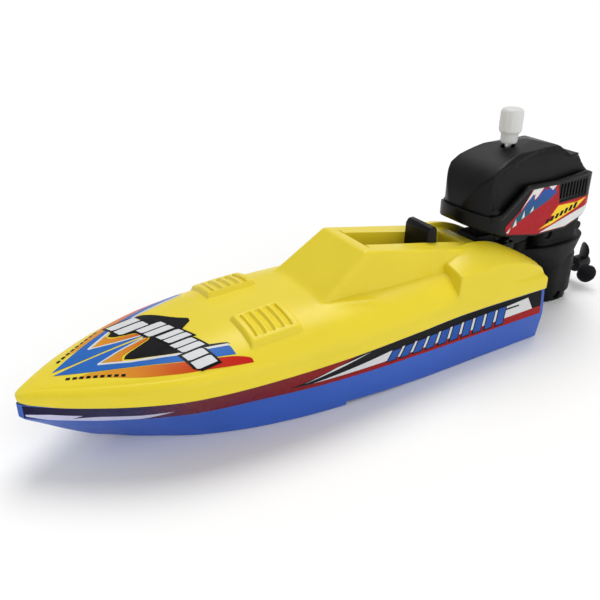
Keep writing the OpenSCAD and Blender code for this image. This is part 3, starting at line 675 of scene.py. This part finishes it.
def blunt_tip(obj):
    """Rounds the very tip of the bow, where the two sides of the lip meet."""
    bm = bmesh.new()
    bm.from_mesh(obj.data)
    for reach, rounds in TIP_ROUNDS:
        ahead = [v for v in bm.verts if v.co.x > TRANSOM + (LENGTH - reach) * MM]
        edge = [v for v in ahead if v.co.z < TIP_EDGE_Z * MM]
        tip = [v for v in ahead if v.co.z >= TIP_EDGE_Z * MM]
        for _ in range(rounds):
            for verts, raised in ((tip, True), (edge, False)):
                bmesh.ops.smooth_vert(bm, verts=verts, factor=0.5, use_axis_x=True, use_axis_y=True,
                                      use_axis_z=raised)
    bm.to_mesh(obj.data)
    bm.free()
    return obj


def deck():
    """The deck moulding: a curved outer skin, walls round its edge and the cockpit, and an inner skin."""
    marks = [1.2, COAMING_AFT, OPENING_AFT, OPENING_AFT - RIM_R, HUMP_FRONT, OPENING_FRONT,
             OPENING_FRONT + RIM_R, WINDSHIELD_X, WINDSHIELD_FOOT_X, VENT_AFT + 0.4, VENT_FRONT - 0.4,
             *SLATS, LENGTH - 0.5]
    stations = spaced(0, LENGTH, marks, coarse=1.3, fine=0.22, reach=3.0)
    made = [deck_row(x) for x in stations]
    opening = made[0][1]
    outer = np.array([row for row, _ in made])
    rows, columns = outer.shape[:2]
    middle = columns // 2
    inner = outer.copy()
    b = half_width(outer[:, :, 0])
    skin = np.minimum(DECK_SKIN, 0.4 * b)
    inner[:, :, 0] = np.clip(outer[:, :, 0], DECK_SKIN, LENGTH - 2.5)
    inner[:, :, 1] = outer[:, :, 1] * (b - skin) / b
    inner[:, :, 2] = np.maximum(outer[:, :, 2] - skin, SEAM + 0.3)
    in_length = (stations >= OPENING_AFT - 1e-6) & (stations <= OPENING_FRONT + 1e-6)
    lift = np.abs(outer[:, :, 1]) - opening_half(outer[:, :, 0])
    spread = OPENING_WALL * np.clip(1 - lift / 4, 0, 1) * np.sign(outer[:, :, 1])
    inner[:, :, 1] += np.where(in_length[:, None], spread, 0)

    kept = np.ones((rows - 1, columns - 1), bool)
    across = np.abs(np.arange(columns - 1) + 0.5 - middle) < opening
    within = in_length[:-1] & in_length[1:]
    kept[np.ix_(within, across)] = False

    points = [*outer.reshape(-1, 3), *inner.reshape(-1, 3)]
    total = rows * columns
    faces, edges = [], {}  # a dict, so that the edges keep their order
    for i, j in zip(*np.nonzero(kept)):
        quad = [i * columns + j, i * columns + j + 1, (i + 1) * columns + j + 1, (i + 1) * columns + j]
        faces.append(quad)
        faces.append([total + v for v in reversed(quad)])
        for a, c in zip(quad, quad[1:] + quad[:1]):
            edges[(a, c)] = True
    wall = {}

    def wall_points(v):
        """The points that join an edge point of the outer skin to its twin on the inner skin."""
        if v not in wall:
            out, into = points[v], points[total + v]
            at_opening = OPENING_AFT - 0.1 < out[0] < OPENING_FRONT + 0.1 and abs(out[1]) < 9.5
            if at_opening:
                step_x = ((out[0] > OPENING_FRONT - 0.01) * OPENING_WALL
                          - (out[0] < OPENING_AFT + 0.01) * OPENING_WALL)
                points[total + v] = np.array([out[0] + step_x, into[1], into[2]])
                chain = [(out[0], out[1], z) for z in np.linspace(out[2], OPENING_FOOT, 9)[1:]]
                chain.append((out[0] + step_x, into[1], OPENING_FOOT))
            else:
                inset = np.array([EDGE_INSET * (int(out[0] < 1) - int(out[0] > LENGTH - 1)),
                                  -EDGE_INSET * np.sign(out[1]) * (abs(out[1]) > 0.8), 0])
                chain = [(out[0], out[1], z) for z in np.linspace(out[2], SEAM + EDGE_INSET, 5)[1:]]
                chain += [np.array([out[0], out[1], SEAM]) + inset, np.array([into[0], into[1], SEAM])]
            wall[v] = list(range(len(points), len(points) + len(chain)))
            points.extend(np.array(p, float) for p in chain)
        return [v, *wall[v], total + v]

    for a, c in edges:
        if (c, a) not in edges:
            first, second = wall_points(a), wall_points(c)
            faces += [[p, q, r, s] for p, q, r, s in zip(second, first, first[1:], second[1:])]
    obj = blunt_tip(new_mesh("deck", np.array(points), faces))
    return finish_piece(obj, "boat", deck_plastic, ["deck_shell"], 40)


hull()
deck()

# ---------- thin solids laid on a surface ----------

# A film's top at level 0, its rise per level, its bottom at level 0, and how that sinks per level
FILM_HIGH, FILM_STEP, FILM_LOW, FILM_SINK = 0.09, 0.03, -0.06, 0.002


def eased(outline, rounds, cut=0.2):
    """The outline with its blunt corners rounded and its sharp tips kept."""
    points = [np.array(p, float) for p in outline]
    for _ in range(rounds):
        result = []
        for before, here, after in zip(points[-1:] + points[:-1], points, points[1:] + points[:1]):
            a, b = before - here, after - here
            if a @ b > 0.2 * np.linalg.norm(a) * np.linalg.norm(b):
                result.append(here)
            else:
                result += [here + cut * a, here + cut * b]
        points = result
    return points


def grown(outline, distance):
    """The outline moved outwards by a distance."""
    points = np.array(outline, float)
    ahead, behind = np.roll(points, -1, 0), np.roll(points, 1, 0)
    turn = np.sign(np.sum(points[:, 0] * ahead[:, 1] - ahead[:, 0] * points[:, 1]))
    sides = [turn * np.column_stack([d[:, 1], -d[:, 0]]) / np.linalg.norm(d, axis=1)[:, None]
             for d in (ahead - points, points - behind)]
    middle = sides[0] + sides[1]
    share = np.maximum(np.sum(middle * middle, axis=1) / 2, 0.45)
    return points + distance * middle / share[:, None]


def band(path, width):
    """Outline of a strip of even width along a path."""
    path = np.array(path, float)
    d = np.gradient(path, axis=0)
    side = np.column_stack([-d[:, 1], d[:, 0]]) / np.linalg.norm(d, axis=1)[:, None] * width / 2
    return np.vstack([path + side, (path - side)[::-1]])


def slanted(centre, width, height, slant):
    """A bar that leans by slant."""
    u, v = centre
    return [(u - width / 2 - slant / 2, v - height / 2), (u + width / 2 - slant / 2, v - height / 2),
            (u + width / 2 + slant / 2, v + height / 2), (u - width / 2 + slant / 2, v + height / 2)]


def laid(outline, surface, high, low, cell):
    """A closed solid over an outline (u, v), its top and bottom at two heights above the surface."""
    bm = bmesh.new()
    face = bm.faces.new([bm.verts.new((u, v, 0)) for u, v in outline])
    face.normal_update()
    bmesh.ops.triangulate(bm, faces=[face])
    for axis, size in enumerate(cell):
        values = [vert.co[axis] for vert in bm.verts]
        normal = np.eye(3)[axis]
        for k in range(math.floor(min(values) / size) + 1, math.ceil(max(values) / size)):
            bmesh.ops.bisect_plane(bm, geom=bm.verts[:] + bm.edges[:] + bm.faces[:], dist=1e-4,
                                   plane_co=normal * k * size, plane_no=normal)
    bm.verts.index_update()
    flat = np.array([vert.co[:2] for vert in bm.verts])
    count = len(flat)
    top = [[vert.index for vert in f.verts] for f in bm.faces]
    walls = [[e.verts[0].index, e.verts[1].index, e.verts[1].index + count, e.verts[0].index + count]
             for e in bm.edges if len(e.link_faces) == 1]
    bm.free()
    return (np.vstack([surface(flat, high), surface(flat, low)]),
            top + [[v + count for v in f] for f in top] + walls)


def joined(name, solids):
    """One object from several closed solids."""
    points, faces, start = [], [], 0
    for part_points, part_faces in solids:
        faces += [[v + start for v in f] for f in part_faces]
        points.append(part_points)
        start += len(part_points)
    return new_mesh(name, np.concatenate(points), faces)


def film(outline, surface, level, cell=(2.0, 1.5)):
    """A printed film; a higher level lies on top of the lower ones."""
    return laid(outline, surface, FILM_HIGH + FILM_STEP * level, FILM_LOW - FILM_SINK * level, cell)


def flipped(solid):
    """The solid mirrored to the other side of the boat."""
    points, faces = solid
    return points * [1, -1, 1], faces


def prints(name, inks, films, body, node):
    """One object per ink from (ink, solid) pairs; the first ink's object stands for the CAD film."""
    for number, (ink, material) in enumerate(inks.items()):
        solids = [solid for used, solid in films if used == ink]
        obj = joined(f"{name}_{ink}", solids)
        finish_piece(obj, body, material, [node] if number == 0 else [], 30)


def on_deck(flat, height):
    x, y = flat.T
    d = 0.05
    along = (deck_height(x + d, y) - deck_height(x - d, y)) / (2 * d)
    across = (deck_height(x, y + d) - deck_height(x, y - d)) / (2 * d)
    normal = np.column_stack([-along, -across, np.ones(len(x))])
    normal /= np.linalg.norm(normal, axis=1)[:, None]
    return np.column_stack([x, y, deck_height(x, y)]) + height * normal


def on_side(x, z, height):
    return side_half(x, z) + height


COWL_CORNER_X, COWL_CORNER_R = -29.4, 7.0
NOSE_X, NOSE_R = 14.1, 13.9
HOOD_INSET = 1.4
# Half-width of the hood's sides: (height, half-width)
HOOD_SIDE = [(40, 12.9), (57, 12.7), (68, 11.4), (71.2, 9.5)]


def on_cowl(x, z, height):
    back, front = np.minimum(x - COWL_CORNER_X, 0), np.maximum(x - NOSE_X, 0)
    y = COWL_HALF - COWL_CORNER_R + np.sqrt(np.maximum((COWL_CORNER_R + height) ** 2 - back**2, 0))
    nose = COWL_HALF - NOSE_R + np.sqrt(np.maximum((NOSE_R + height) ** 2 - front**2, 0))
    return np.minimum(y, nose)


def on_hood(x, z, height):
    y = np.interp(z, *np.transpose(HOOD_SIDE))
    front = np.maximum(x - NOSE_X, 0)
    nose = COWL_HALF - NOSE_R + np.sqrt((NOSE_R - HOOD_INSET) ** 2 - front**2)
    return np.minimum(y, nose) + height


def upright(side, half):
    """Lays (x, z) outlines on one side of the boat, as far from its middle as half says."""
    def surface(flat, height):
        x, z = flat.T
        return np.column_stack([x, side * half(x, z, height), z])
    return surface


# ---------- printed films on the deck and sides ----------

FLAME_LOW, FLAME_HIGH = TRANSOM + 126 * MM, TRANSOM + 172 * MM
ink_flame = printed("ink_flame", (0.0, (184, 30, 24)), (0.3, (188, 50, 24)), (0.5, (192, 86, 28)),
                    (0.7, (204, 128, 36)), (1.0, (212, 154, 44)), along=("X", FLAME_LOW, FLAME_HIGH))
ink_blue = printed("ink_blue", 40, 98, 178)
ink_white = printed("ink_white", 208, 209, 211)
ink_black = printed("ink_black", 15, 15, 18)

WING = [(178.6, 0.9), (173, 4.6), (166.8, 8.3), (156.4, 13.5), (145.9, 18.2), (137, 21), (129.9, 22.8),
        (130.3, 19), (137.4, 17.4), (146.1, 15.2), (153.1, 12.9), (158.4, 10.2), (166.4, 4.9), (158.6, 2.4),
        (150.5, 0.9), (149, 0.5), (160, 0.45), (172, 0.45)]
FLAME_BAND = [(173.8, 6.7), (167.6, 10.8), (160.4, 15.8), (155.4, 18.5), (147.4, 21.7), (141.9, 23.2),
              (133.2, 25.2), (125.8, 26.4), (125.9, 25.2), (130.1, 23.3), (137, 21.3), (145.9, 18.5),
              (156.4, 13.8), (166.8, 8.6), (170, 6.9)]
FLAME_INSIDE = [(165, 4.9), (159.9, 8.2), (159.2, 5.6), (154.6, 4.2), (149.5, 2.2), (149.5, 1.4),
                (158.6, 2.9)]
CHEVRON = [(159.5, 8.2), (146.1, 14.3), (137.4, 16.7), (131.9, 17.9), (130, 18.9), (130.3, 18.0),
           (137.4, 15.6), (139.3, 9.6), (139.9, 4.4), (134.1, 0), (138.6, -4.2), (143.2, -10.4),
           (146.6, -13.6), (151, -13), (159.5, -8.2), (158.2, -6.1), (153.4, -4.4), (149.2, -2.7),
           (148.2, 0), (149.2, 2.7), (153.4, 4.4), (158.2, 6.1)]
LONG_LEG = [(166.4, 4.9), (158.3, 10.0), (146.1, 15.0), (137.4, 17.2), (130.3, 19.0)]
SHORT_LEG = [(166.4, 4.9), (158.6, 2.5), (151, 0.9)]
# Generic slanted blocks across the foredeck: centre, width across the boat, length along it
BLOCKS = [((152.4, -9.4), 8.2, 9.4), ((146.0, -1.4), 6.6, 8.2), ((142.8, 6.2), 6.0, 7.4),
          ((141.2, 12.9), 5.6, 7.0), ((140.2, 19.6), 6.4, 6.4)]
DASHES, DASH_HALF, DASH_WIDTH = 9, 0.62, 0.9


def deck_prints():
    films = []
    for ink, level, outline, rounds in (
            ("flame", 0, FLAME_BAND, 2), ("blue", 1, WING, 1), ("flame", 2, FLAME_INSIDE, 1),
            ("white", 4, band(LONG_LEG, 0.8), 0), ("white", 4, band(SHORT_LEG, 0.5), 0)):
        solid = film(eased(outline, rounds), on_deck, level, (1.3, 1.0))
        films += [(ink, solid), (ink, flipped(solid))]
    films.append(("black", film(eased(CHEVRON, 1), on_deck, 3)))
    for centre, across, along in BLOCKS:
        block = slanted(centre, along, across, -2.2)
        films.append(("black", film(eased(grown(block, 0.75), 1), on_deck, 5)))
        for share in (-0.27, 0.27):
            bar = slanted((centre[0] - 2.2 * share, centre[1] + share * across), along, across * 0.44, -0.97)
            films.append(("white", film(eased(bar, 1, 0.12), on_deck, 6)))
    start, end = np.array([176.4, 4.8]), np.array([160.8, 14.6])
    lean = (end - start) / np.linalg.norm(end - start)
    for i in range(DASHES):
        centre = start + (end - start) * (i + 0.5) / DASHES
        solid = film(band([centre - DASH_HALF * lean, centre + DASH_HALF * lean], DASH_WIDTH), on_deck, 1)
        films += [("black", solid), ("black", flipped(solid))]
    prints("deck_print", {"blue": ink_blue, "flame": ink_flame, "white": ink_white, "black": ink_black},
           films, "boat", "deck_sticker")


SIDE_TOP = 21.6
SIDE_ENDS = (1.5, 188.8)
WHOLE_SIDE = ("X", TRANSOM, TRANSOM + 190 * MM)
side_base = printed("side_base", (0.0, (150, 30, 34)), (0.5, (138, 24, 20)), (0.62, (118, 22, 12)),
                    (0.76, (104, 20, 16)), (0.84, (28, 16, 60)), (1.0, (20, 14, 54)), along=WHOLE_SIDE)
side_white = printed("side_white", (0.0, (206, 206, 206)), (0.7, (206, 206, 206)), (0.85, (196, 196, 224)),
                     along=WHOLE_SIDE)
side_blue = printed("side_blue", 42, 82, 160)
SIDE_BLACK = [(112.8, 14.6), (100, 18.4), (90, 21.6), (1.6, 21.6), (1.6, 15.2), (22, 14.9), (75, 14.2),
              (104, 14.2)]
SIDE_WHITE = [(104.8, 14.4), (75.2, 14.3), (22, 14.9), (6.2, 15.2), (8.8, 20.3), (22, 19.3), (75.5, 18.3)]
SIDE_SLIVER = [(108, 15.4), (96, 18.4), (84, 21.4), (97, 19.3)]
LIGHTNING = [(188.4, 18.4), (182.2, 18.4), (173.8, 17.2), (176.6, 15.8), (169.3, 16.1), (158.6, 15.2),
             (149.2, 15.8), (155.5, 13.2), (158.1, 12.6), (169.1, 13.3), (182.4, 15.9), (188.3, 17.7)]
SIDE_DASH = [(22, 18.0), (13.5, 18.1), (13.5, 18.7), (22, 18.7)]
SIDE_BARS, BAR_WIDTH, BAR_SLANT, BAR_OUTLINE = 10, 3.5, -1.6, 0.45


def side_prints(side, name):
    surface = upright(side, on_side)
    x = np.linspace(SIDE_ENDS[0], SIDE_ENDS[1], 60)
    low = np.column_stack([x, knuckle_height(x / LENGTH) + 0.55])
    whole = np.vstack([low, [(SIDE_ENDS[1], SIDE_TOP), (SIDE_ENDS[0], SIDE_TOP)]])
    films = [(ink, film(outline, surface, level)) for ink, level, outline in (
        ("base", 0, whole), ("black", 1, SIDE_BLACK), ("white", 2, SIDE_WHITE), ("white", 2, SIDE_SLIVER),
        ("white", 2, LIGHTNING))]
    for i in range(SIDE_BARS):
        t = (i + 0.5) / SIDE_BARS
        bar = slanted((76 - 56 * t, 15.9 + 0.5 * t), BAR_WIDTH, 3.9 + 2.5 * t, BAR_SLANT)
        films.append(("black", film(grown(bar, BAR_OUTLINE), surface, 3)))
        films.append(("blue", film(bar, surface, 4)))
    films.append(("black", film(SIDE_DASH, surface, 3)))
    inks = {"base": side_base, "black": ink_black, "white": side_white, "blue": side_blue}
    prints(f"side_print_{name}", inks, films, "boat", f"side_sticker_{name}")


deck_prints()
for side, name in SIDES:
    side_prints(side, name)

# ---------- cockpit and bracket ----------

for piece, node in (
        (bevelled(cad_copy("cockpit_floor", "cockpit_tray"), 0.35), "cockpit_tray"),
        (bevelled(cad_copy("seat_back", "seat"), 0.5), "seat"),
        (softened(cad_copy("bracket", "transom_bracket"), voxel=0.32, rounds=3, keep=0.4),
         "transom_bracket")):
    finish_piece(piece, "boat", black_plastic, [node])

# ---------- motor's cowl ----------

HOOD_PANEL = [(18.6, 50), (18.6, 56.6), (19.2, 61.3), (18.4, 63.9), (16.1, 65.4), (9.4, 67.8), (2.5, 69.8),
              (-4.7, 71), (-12.8, 71.6), (-16.5, 70.2), (-20.1, 67.3), (-23.6, 66.6), (-26.3, 67.8),
              (-40, 67.8), (-40, 50)]
HOOD_RECESS = 0.65
PAN_RIM = [(19.8, 49.6), (15.7, 50.0), (13.9, 51.2), (8.6, 55.2), (4.0, 59.0), (2.9, 59.3), (-12.6, 58.9),
           (-28.9, 60.3)]
GRILLE = [(-13.5, 58.5), (-29.3, 57.7), (-29.9, 51.2), (-14.9, 50.4)]
SLOTS = 8
SLOT_AFT, SLOT_PITCH, SLOT_WIDTH, SLOT_LOW, SLOT_HIGH = -28.3, 1.76, 0.9, 51.7, 57.5
# Fills the CAD's own slots, so that finer ones can be cut
GRILLE_FILL = [(-28.4, 50.6), (-13.9, 50.6), (-13.9, 58.2), (-28.4, 58.2)]
GRILLE_FILL_FROM = 13.3

# The bends of the hood's nose and top, which get rounded, in side view
HOOD_ROUND = [(26.8, 44), (26.6, 48.6), (26.1, 55), (24.2, 60.5), (20.6, 64.8), (15.6, 68), (8.4, 70.6),
              (2, 71.9), (-9, 72.8), (-14, 72.6)]
# Closes that outline outside the hood, where nothing is cut
HOOD_KEPT = [(-16, 74), (-40, 74), (-40, 40), (26.8, 40)]


def cowl_hood():
    """The hood: its bends rounded, its sides recessed, and its edges softened."""
    obj = cad_copy("hood", "cowl_hood")
    line = [np.array(p, float) for p in HOOD_ROUND]
    for _ in range(3):
        cut = [p + (q - p) * t for p, q in zip(line, line[1:]) for t in (0.25, 0.75)]
        line = [line[0]] + cut + [line[-1]]
    boolean(obj, prism("round", line + HOOD_KEPT, -30, 30), "INTERSECT")
    for side, _ in SIDES:
        panel = laid(eased(HOOD_PANEL, 1), upright(side, on_hood), 6, -HOOD_RECESS, (3, 3))
        boolean(obj, joined("panel", [panel]), "DIFFERENCE")
    softened(obj, voxel=0.42, rounds=5, keep=0.34)
    finish_piece(obj, "outboard", black_plastic, ["cowl_hood"], angle=60)


def cowl_pan():
    """The pan: a raised rim on each side, and a recessed grille of slots."""
    obj = cad_copy("pan", "cowl_pan")
    for side, _ in SIDES:
        fill = prism("fill", GRILLE_FILL, side * GRILLE_FILL_FROM, side * (COWL_HALF - 0.02))
        boolean(obj, fill, "UNION")
        rim = laid(band(PAN_RIM, 1.5), upright(side, on_cowl), 0.5, -0.6, (3, 3))
        boolean(obj, joined("rim", [rim]), "UNION")
    softened(obj, voxel=0.42, rounds=4, keep=0.34)
    for side, _ in SIDES:
        surface = upright(side, on_cowl)
        boolean(obj, joined("recess", [laid(GRILLE, surface, 2, -0.3, (1, 8))]), "DIFFERENCE")
        slots = []
        for i in range(SLOTS):
            x = SLOT_AFT + i * SLOT_PITCH
            slot = [(x, SLOT_LOW), (x + SLOT_WIDTH, SLOT_LOW), (x + SLOT_WIDTH, SLOT_HIGH), (x, SLOT_HIGH)]
            slots.append(laid(slot, surface, 1, -0.85, (1, 8)))
        boolean(obj, joined("slots", slots), "DIFFERENCE")
    finish_piece(obj, "outboard", black_plastic, ["cowl_pan"], angle=40)


cowl_inks = {
    "red": printed("cowl_red", 166, 34, 40), "white": printed("cowl_white", 214, 214, 212),
    "brush": printed("cowl_brush", (0.0, (34, 92, 78)), (0.35, (40, 88, 110)), (1.0, (48, 82, 158)),
                     along=("Z", 0.044, 0.056)),
    "yellow": printed("cowl_yellow", 238, 206, 50), "orange": printed("cowl_orange", 214, 98, 36),
    "black": ink_black}
COWL_BASE = [(12, 42.3), (-4, 39.3), (-20.8, 39.3), (-28, 42), (-35, 46.4), (-35.4, 50.9), (-30.2, 50.4),
             (-14.9, 49.9), (-13, 58.2), (0.9, 58.2), (6.2, 50.8), (13, 45.6), (12.7, 43.4)]
COWL_UPPER = [(6.1, 50.6), (0.6, 58), (-4.8, 58), (-2.2, 55), (-0.3, 53.7), (-0.8, 56.2), (2.6, 54.2)]
BRUSH = [(10.6, 45.2), (8.4, 48.4), (5.5, 50.3), (0.4, 56.4), (-0.9, 53.2), (-5.7, 57.8), (-6.6, 56.6),
         (-8.1, 57.6), (-9.3, 56), (-11.1, 57.1), (-12.2, 54.8), (-8.3, 52.3), (-1.6, 49.8), (4.9, 46.9)]
SLIVERS = [[(9.4, 44.6), (8.1, 47.9), (7.4, 45.4)], [(5.1, 47.2), (4.2, 50.6), (3.7, 47.9)],
           [(1.2, 48.9), (-0.4, 51.5), (-0.6, 49.7)], [(-7.4, 58.1), (-9.9, 56.2), (-12.1, 58.1)],
           [(12.4, 43.1), (10.3, 44.9), (11.2, 42.8)]]
STREAK = [(-5.3, 40.9), (-11.5, 43.3), (-13.2, 45.3), (-11.6, 45.6), (-14.7, 49), (-19.7, 48.9),
          (-25.2, 48.7), (-30.3, 50), (-25.9, 46.7), (-18.3, 44.1), (-12, 42)]
COWL_BAND = [(-5.9, 39.5), (-35, 47.5), (-35.4, 46.1), (-28.3, 42.1), (-20.4, 39.5)]
COWL_DASHES = 7


def cowl_prints(side, name):
    surface = upright(side, on_cowl)
    films = []
    for ink, level, outline in (
            ("red", 0, COWL_BASE), ("white", 1, COWL_BAND), ("white", 1, COWL_UPPER), ("brush", 2, BRUSH),
            ("orange", 1, grown(STREAK, 0.35)), ("yellow", 2, STREAK),
            *(("white", 3, sliver) for sliver in SLIVERS)):
        films.append((ink, film(outline, surface, level, (0.8, 3))))
    for i in range(COWL_DASHES):
        t = (i + 0.5) / COWL_DASHES
        dash = slanted((-8.6 - 17.2 * t, 43.2 + 4.6 * t), 1.5, 1.7 + 0.7 * t, -0.9)
        films.append(("black", film(dash, surface, 3, (0.8, 3))))
    prints(f"cowl_print_{name}", cowl_inks, films, "outboard", f"cowl_sticker_{name}")


cowl_hood()
cowl_pan()
for side, name in SIDES:
    cowl_prints(side, name)

# ---------- motor's leg, knob and propeller ----------

for _, name in SIDES:
    leg = softened(cad_copy(f"leg_shell_{name}", f"leg_{name}"), voxel=0.4, rounds=3, keep=0.34)
    finish_piece(leg, "outboard", leg_plastic, [f"leg_{name}"], angle=60)

KNOB_R = (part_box("winding_knob")[1].y - 0.00001) / MM
KNOB_FLUTES, FLUTE_DEPTH, FLUTES_FROM, FLUTES_TO = 12, 0.12, 77.6, 84.9
KNOB = [(1.5, 80.0), (1.5, 73.2), (1.7, 73.0), (2.85, 73.0), (3.1, 73.3), (3.2, 74.0), (3.25, 76.2),
        (3.45, 76.6), (4.0, 77.2), (KNOB_R - 0.1, 77.55), (KNOB_R - 0.03, 78.0), (KNOB_R, 79.0),
        (KNOB_R, 82), (KNOB_R, 84.0), (KNOB_R - 0.1, 84.8), (KNOB_R - 0.5, 85.4), (KNOB_R - 1.3, 85.75),
        (1.8, 85.88), (0.4, 85.9)]


def knob():
    """The winding knob, turned, with shallow flutes round its wide part."""
    def flutes(angles, height):
        fade = smooth_step((height - FLUTES_FROM) / 0.8) * smooth_step((FLUTES_TO - height) / 0.6)
        return FLUTE_DEPTH * float(fade) * np.maximum(0, np.cos(angles * KNOB_FLUTES)) ** 2
    obj = loft("knob", revolve(KNOB, KNOB_FLUTES * 12, (ARBOR_X, 0, 0), "z", flutes))
    finish_piece(obj, "winder", knob_plastic, ["winding_knob"], 50)


# Radius from the shaft, width and thickness of each section of a blade
BLADE_ROWS = [(1.6, 3.6, 2.2), (3.0, 5.4, 2.1), (4.2, 7.9, 2.0), (5.2, 8.8, 1.8), (6.2, 8.9, 1.6),
              (7.4, 8.4, 1.4), (8.5, 7.0, 1.2), (9.3, 5.0, 1.0), (9.8, 2.8, 0.8)]
BLADE_CAMBER = 0.03
# Share of the pitch at the shaft, and what it loses per millimetre of radius
TWIST_START, TWIST_LOSS = 1.28, 0.056
BLADE_X, BLADE_PITCH, BLADE_TURN, BLADES = -54.2, -32.0, 10.0, 3
HUB = [(1.02, -50.0), (3.1, -50.0), (3.5, -50.4), (3.5, -56.2), (3.3, -57.1), (2.8, -58.2), (2.0, -59.1),
       (1.0, -59.75), (0.3, -59.97)]


def blade(turn):
    """One paddle blade: rounded sections from the hub out to the tip, twisted along the way."""
    points = 20
    angles = np.arange(points) * 2 * math.pi / points
    rings = []
    for r, chord, thick in BLADE_ROWS:
        twist = math.radians(BLADE_PITCH * (TWIST_START - TWIST_LOSS * r))
        across = chord / 2 * np.cos(angles)
        through = thick / 2 * np.sin(angles) - BLADE_CAMBER * across**2
        x = BLADE_X - across * math.sin(twist) + through * math.cos(twist)
        side = across * math.cos(twist) + through * math.sin(twist)
        y = side * math.cos(turn) - r * math.sin(turn)
        z = side * math.sin(turn) + r * math.cos(turn)
        rings.append(np.column_stack([x, y, z + SHAFT_Z]))
    return rings


def propeller():
    hub = revolve(HUB, 40, (0, 0, SHAFT_Z), "x")
    solids = []
    blades = [blade(-math.radians(BLADE_TURN + 360 / BLADES * i)) for i in range(BLADES)]
    for rings in [hub] + blades:
        count = len(rings[0])
        ends = [list(range(count)), list(range((len(rings) - 1) * count, len(rings) * count))]
        solids.append((np.concatenate(rings), ring_faces(len(rings), count) + ends))
    obj = joined("screw_blades", solids)
    softened(obj, voxel=0.2, rounds=4, keep=0.3)
    finish_piece(obj, "screw", propeller_plastic, ["propeller"], angle=60)


knob()
propeller()

# ---------- CAD parts that keep their shape ----------

for material, nodes in (
        (steel_metal, ("hull_screws", "motor_plate_lower", "motor_plate_upper", "winding_arbor",
                       "first_idler_shaft", "second_idler_shaft", "drive_shaft", "propeller_shaft")),
        (blackened_metal, ("bracket_screws", "cowl_screws", "leg_screws", "swivel_pin")),
        (brass_metal, ("shaft_bushing", "motor_pillars")), (spring_metal, ("mainspring",)),
        (gear_plastic, ("great_wheel", "first_idler_gear", "second_idler_gear", "drive_pinion",
                        "crown_wheel", "shaft_pinion"))):
    for node in nodes:
        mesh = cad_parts[node].data
        mesh.materials.clear()
        mesh.materials.append(material)

# ---------- camera, floor and light ----------

# Places and clipping are in metres; the lens, the sensor and the floor's half width in millimetres
CAMERA_AT, CAMERA_TARGET = (0.1415, 0.1874, 0.1426), (0.029, 0, 0.0302)
LENS, SENSOR = 42.57, 36
NEAR, FAR = 0.01, 20
FLOOR_HALF = 4000.0
FLOOR_WHITES = (0.9, 0.912)
HORIZON_WHITE, SKY_GREY = 1.0, 0.52
# Direction that the light comes from, strength, and spread in degrees
SUNS = {"key": ((-0.35, -0.4, 1.0), 1.65, 36), "fill": ((-0.15, 0.95, 0.5), 0.95, 70)}


def aim(obj, position, target):
    obj.location = position
    direction = Vector(target) - Vector(position)
    obj.rotation_euler = direction.to_track_quat("-Z", "Y").to_euler()


def camera():
    data = bpy.data.cameras.new("camera")
    data.lens = LENS
    data.sensor_width = SENSOR
    data.clip_start = NEAR
    data.clip_end = FAR
    obj = linked("camera", data)
    aim(obj, CAMERA_AT, CAMERA_TARGET)
    bpy.context.scene.camera = obj


def floor():
    """White paper under the boat, far wider than it."""
    n = Nodes(bpy.data.materials.new("floor_paper"))
    white = n.ramp(n.noise(9, 2), [(0.3, FLOOR_WHITES[0]), (0.7, FLOOR_WHITES[1])])
    corners = [(x * FLOOR_HALF, y * FLOOR_HALF, 0) for x, y in ((-1, -1), (1, -1), (1, 1), (-1, 1))]
    obj = new_mesh("floor", corners, [[0, 1, 2, 3]])
    obj.data.materials.append(n.finish({"Base Color": white, "Roughness": 0.85}))


def sky():
    """A world that is white round the horizon and softly grey overhead."""
    n = Nodes(bpy.data.worlds.new("studio"), "Background", "Generated")
    height = n.add("SeparateXYZ", {0: n.place}, "Z")
    return n.finish({"Color": n.ramp(height, [(0.1, HORIZON_WHITE), (0.3, SKY_GREY)])})


def sun(name, towards, strength, spread):
    data = bpy.data.lights.new(name, "SUN")
    data.energy = strength
    data.angle = math.radians(spread)
    aim(linked(name, data), towards, (0, 0, 0))


def light():
    bpy.context.scene.world = sky()
    bpy.context.scene.view_settings.view_transform = "Standard"
    for name, (towards, strength, spread) in SUNS.items():
        sun(name, towards, strength, spread)


camera()
floor()
light()
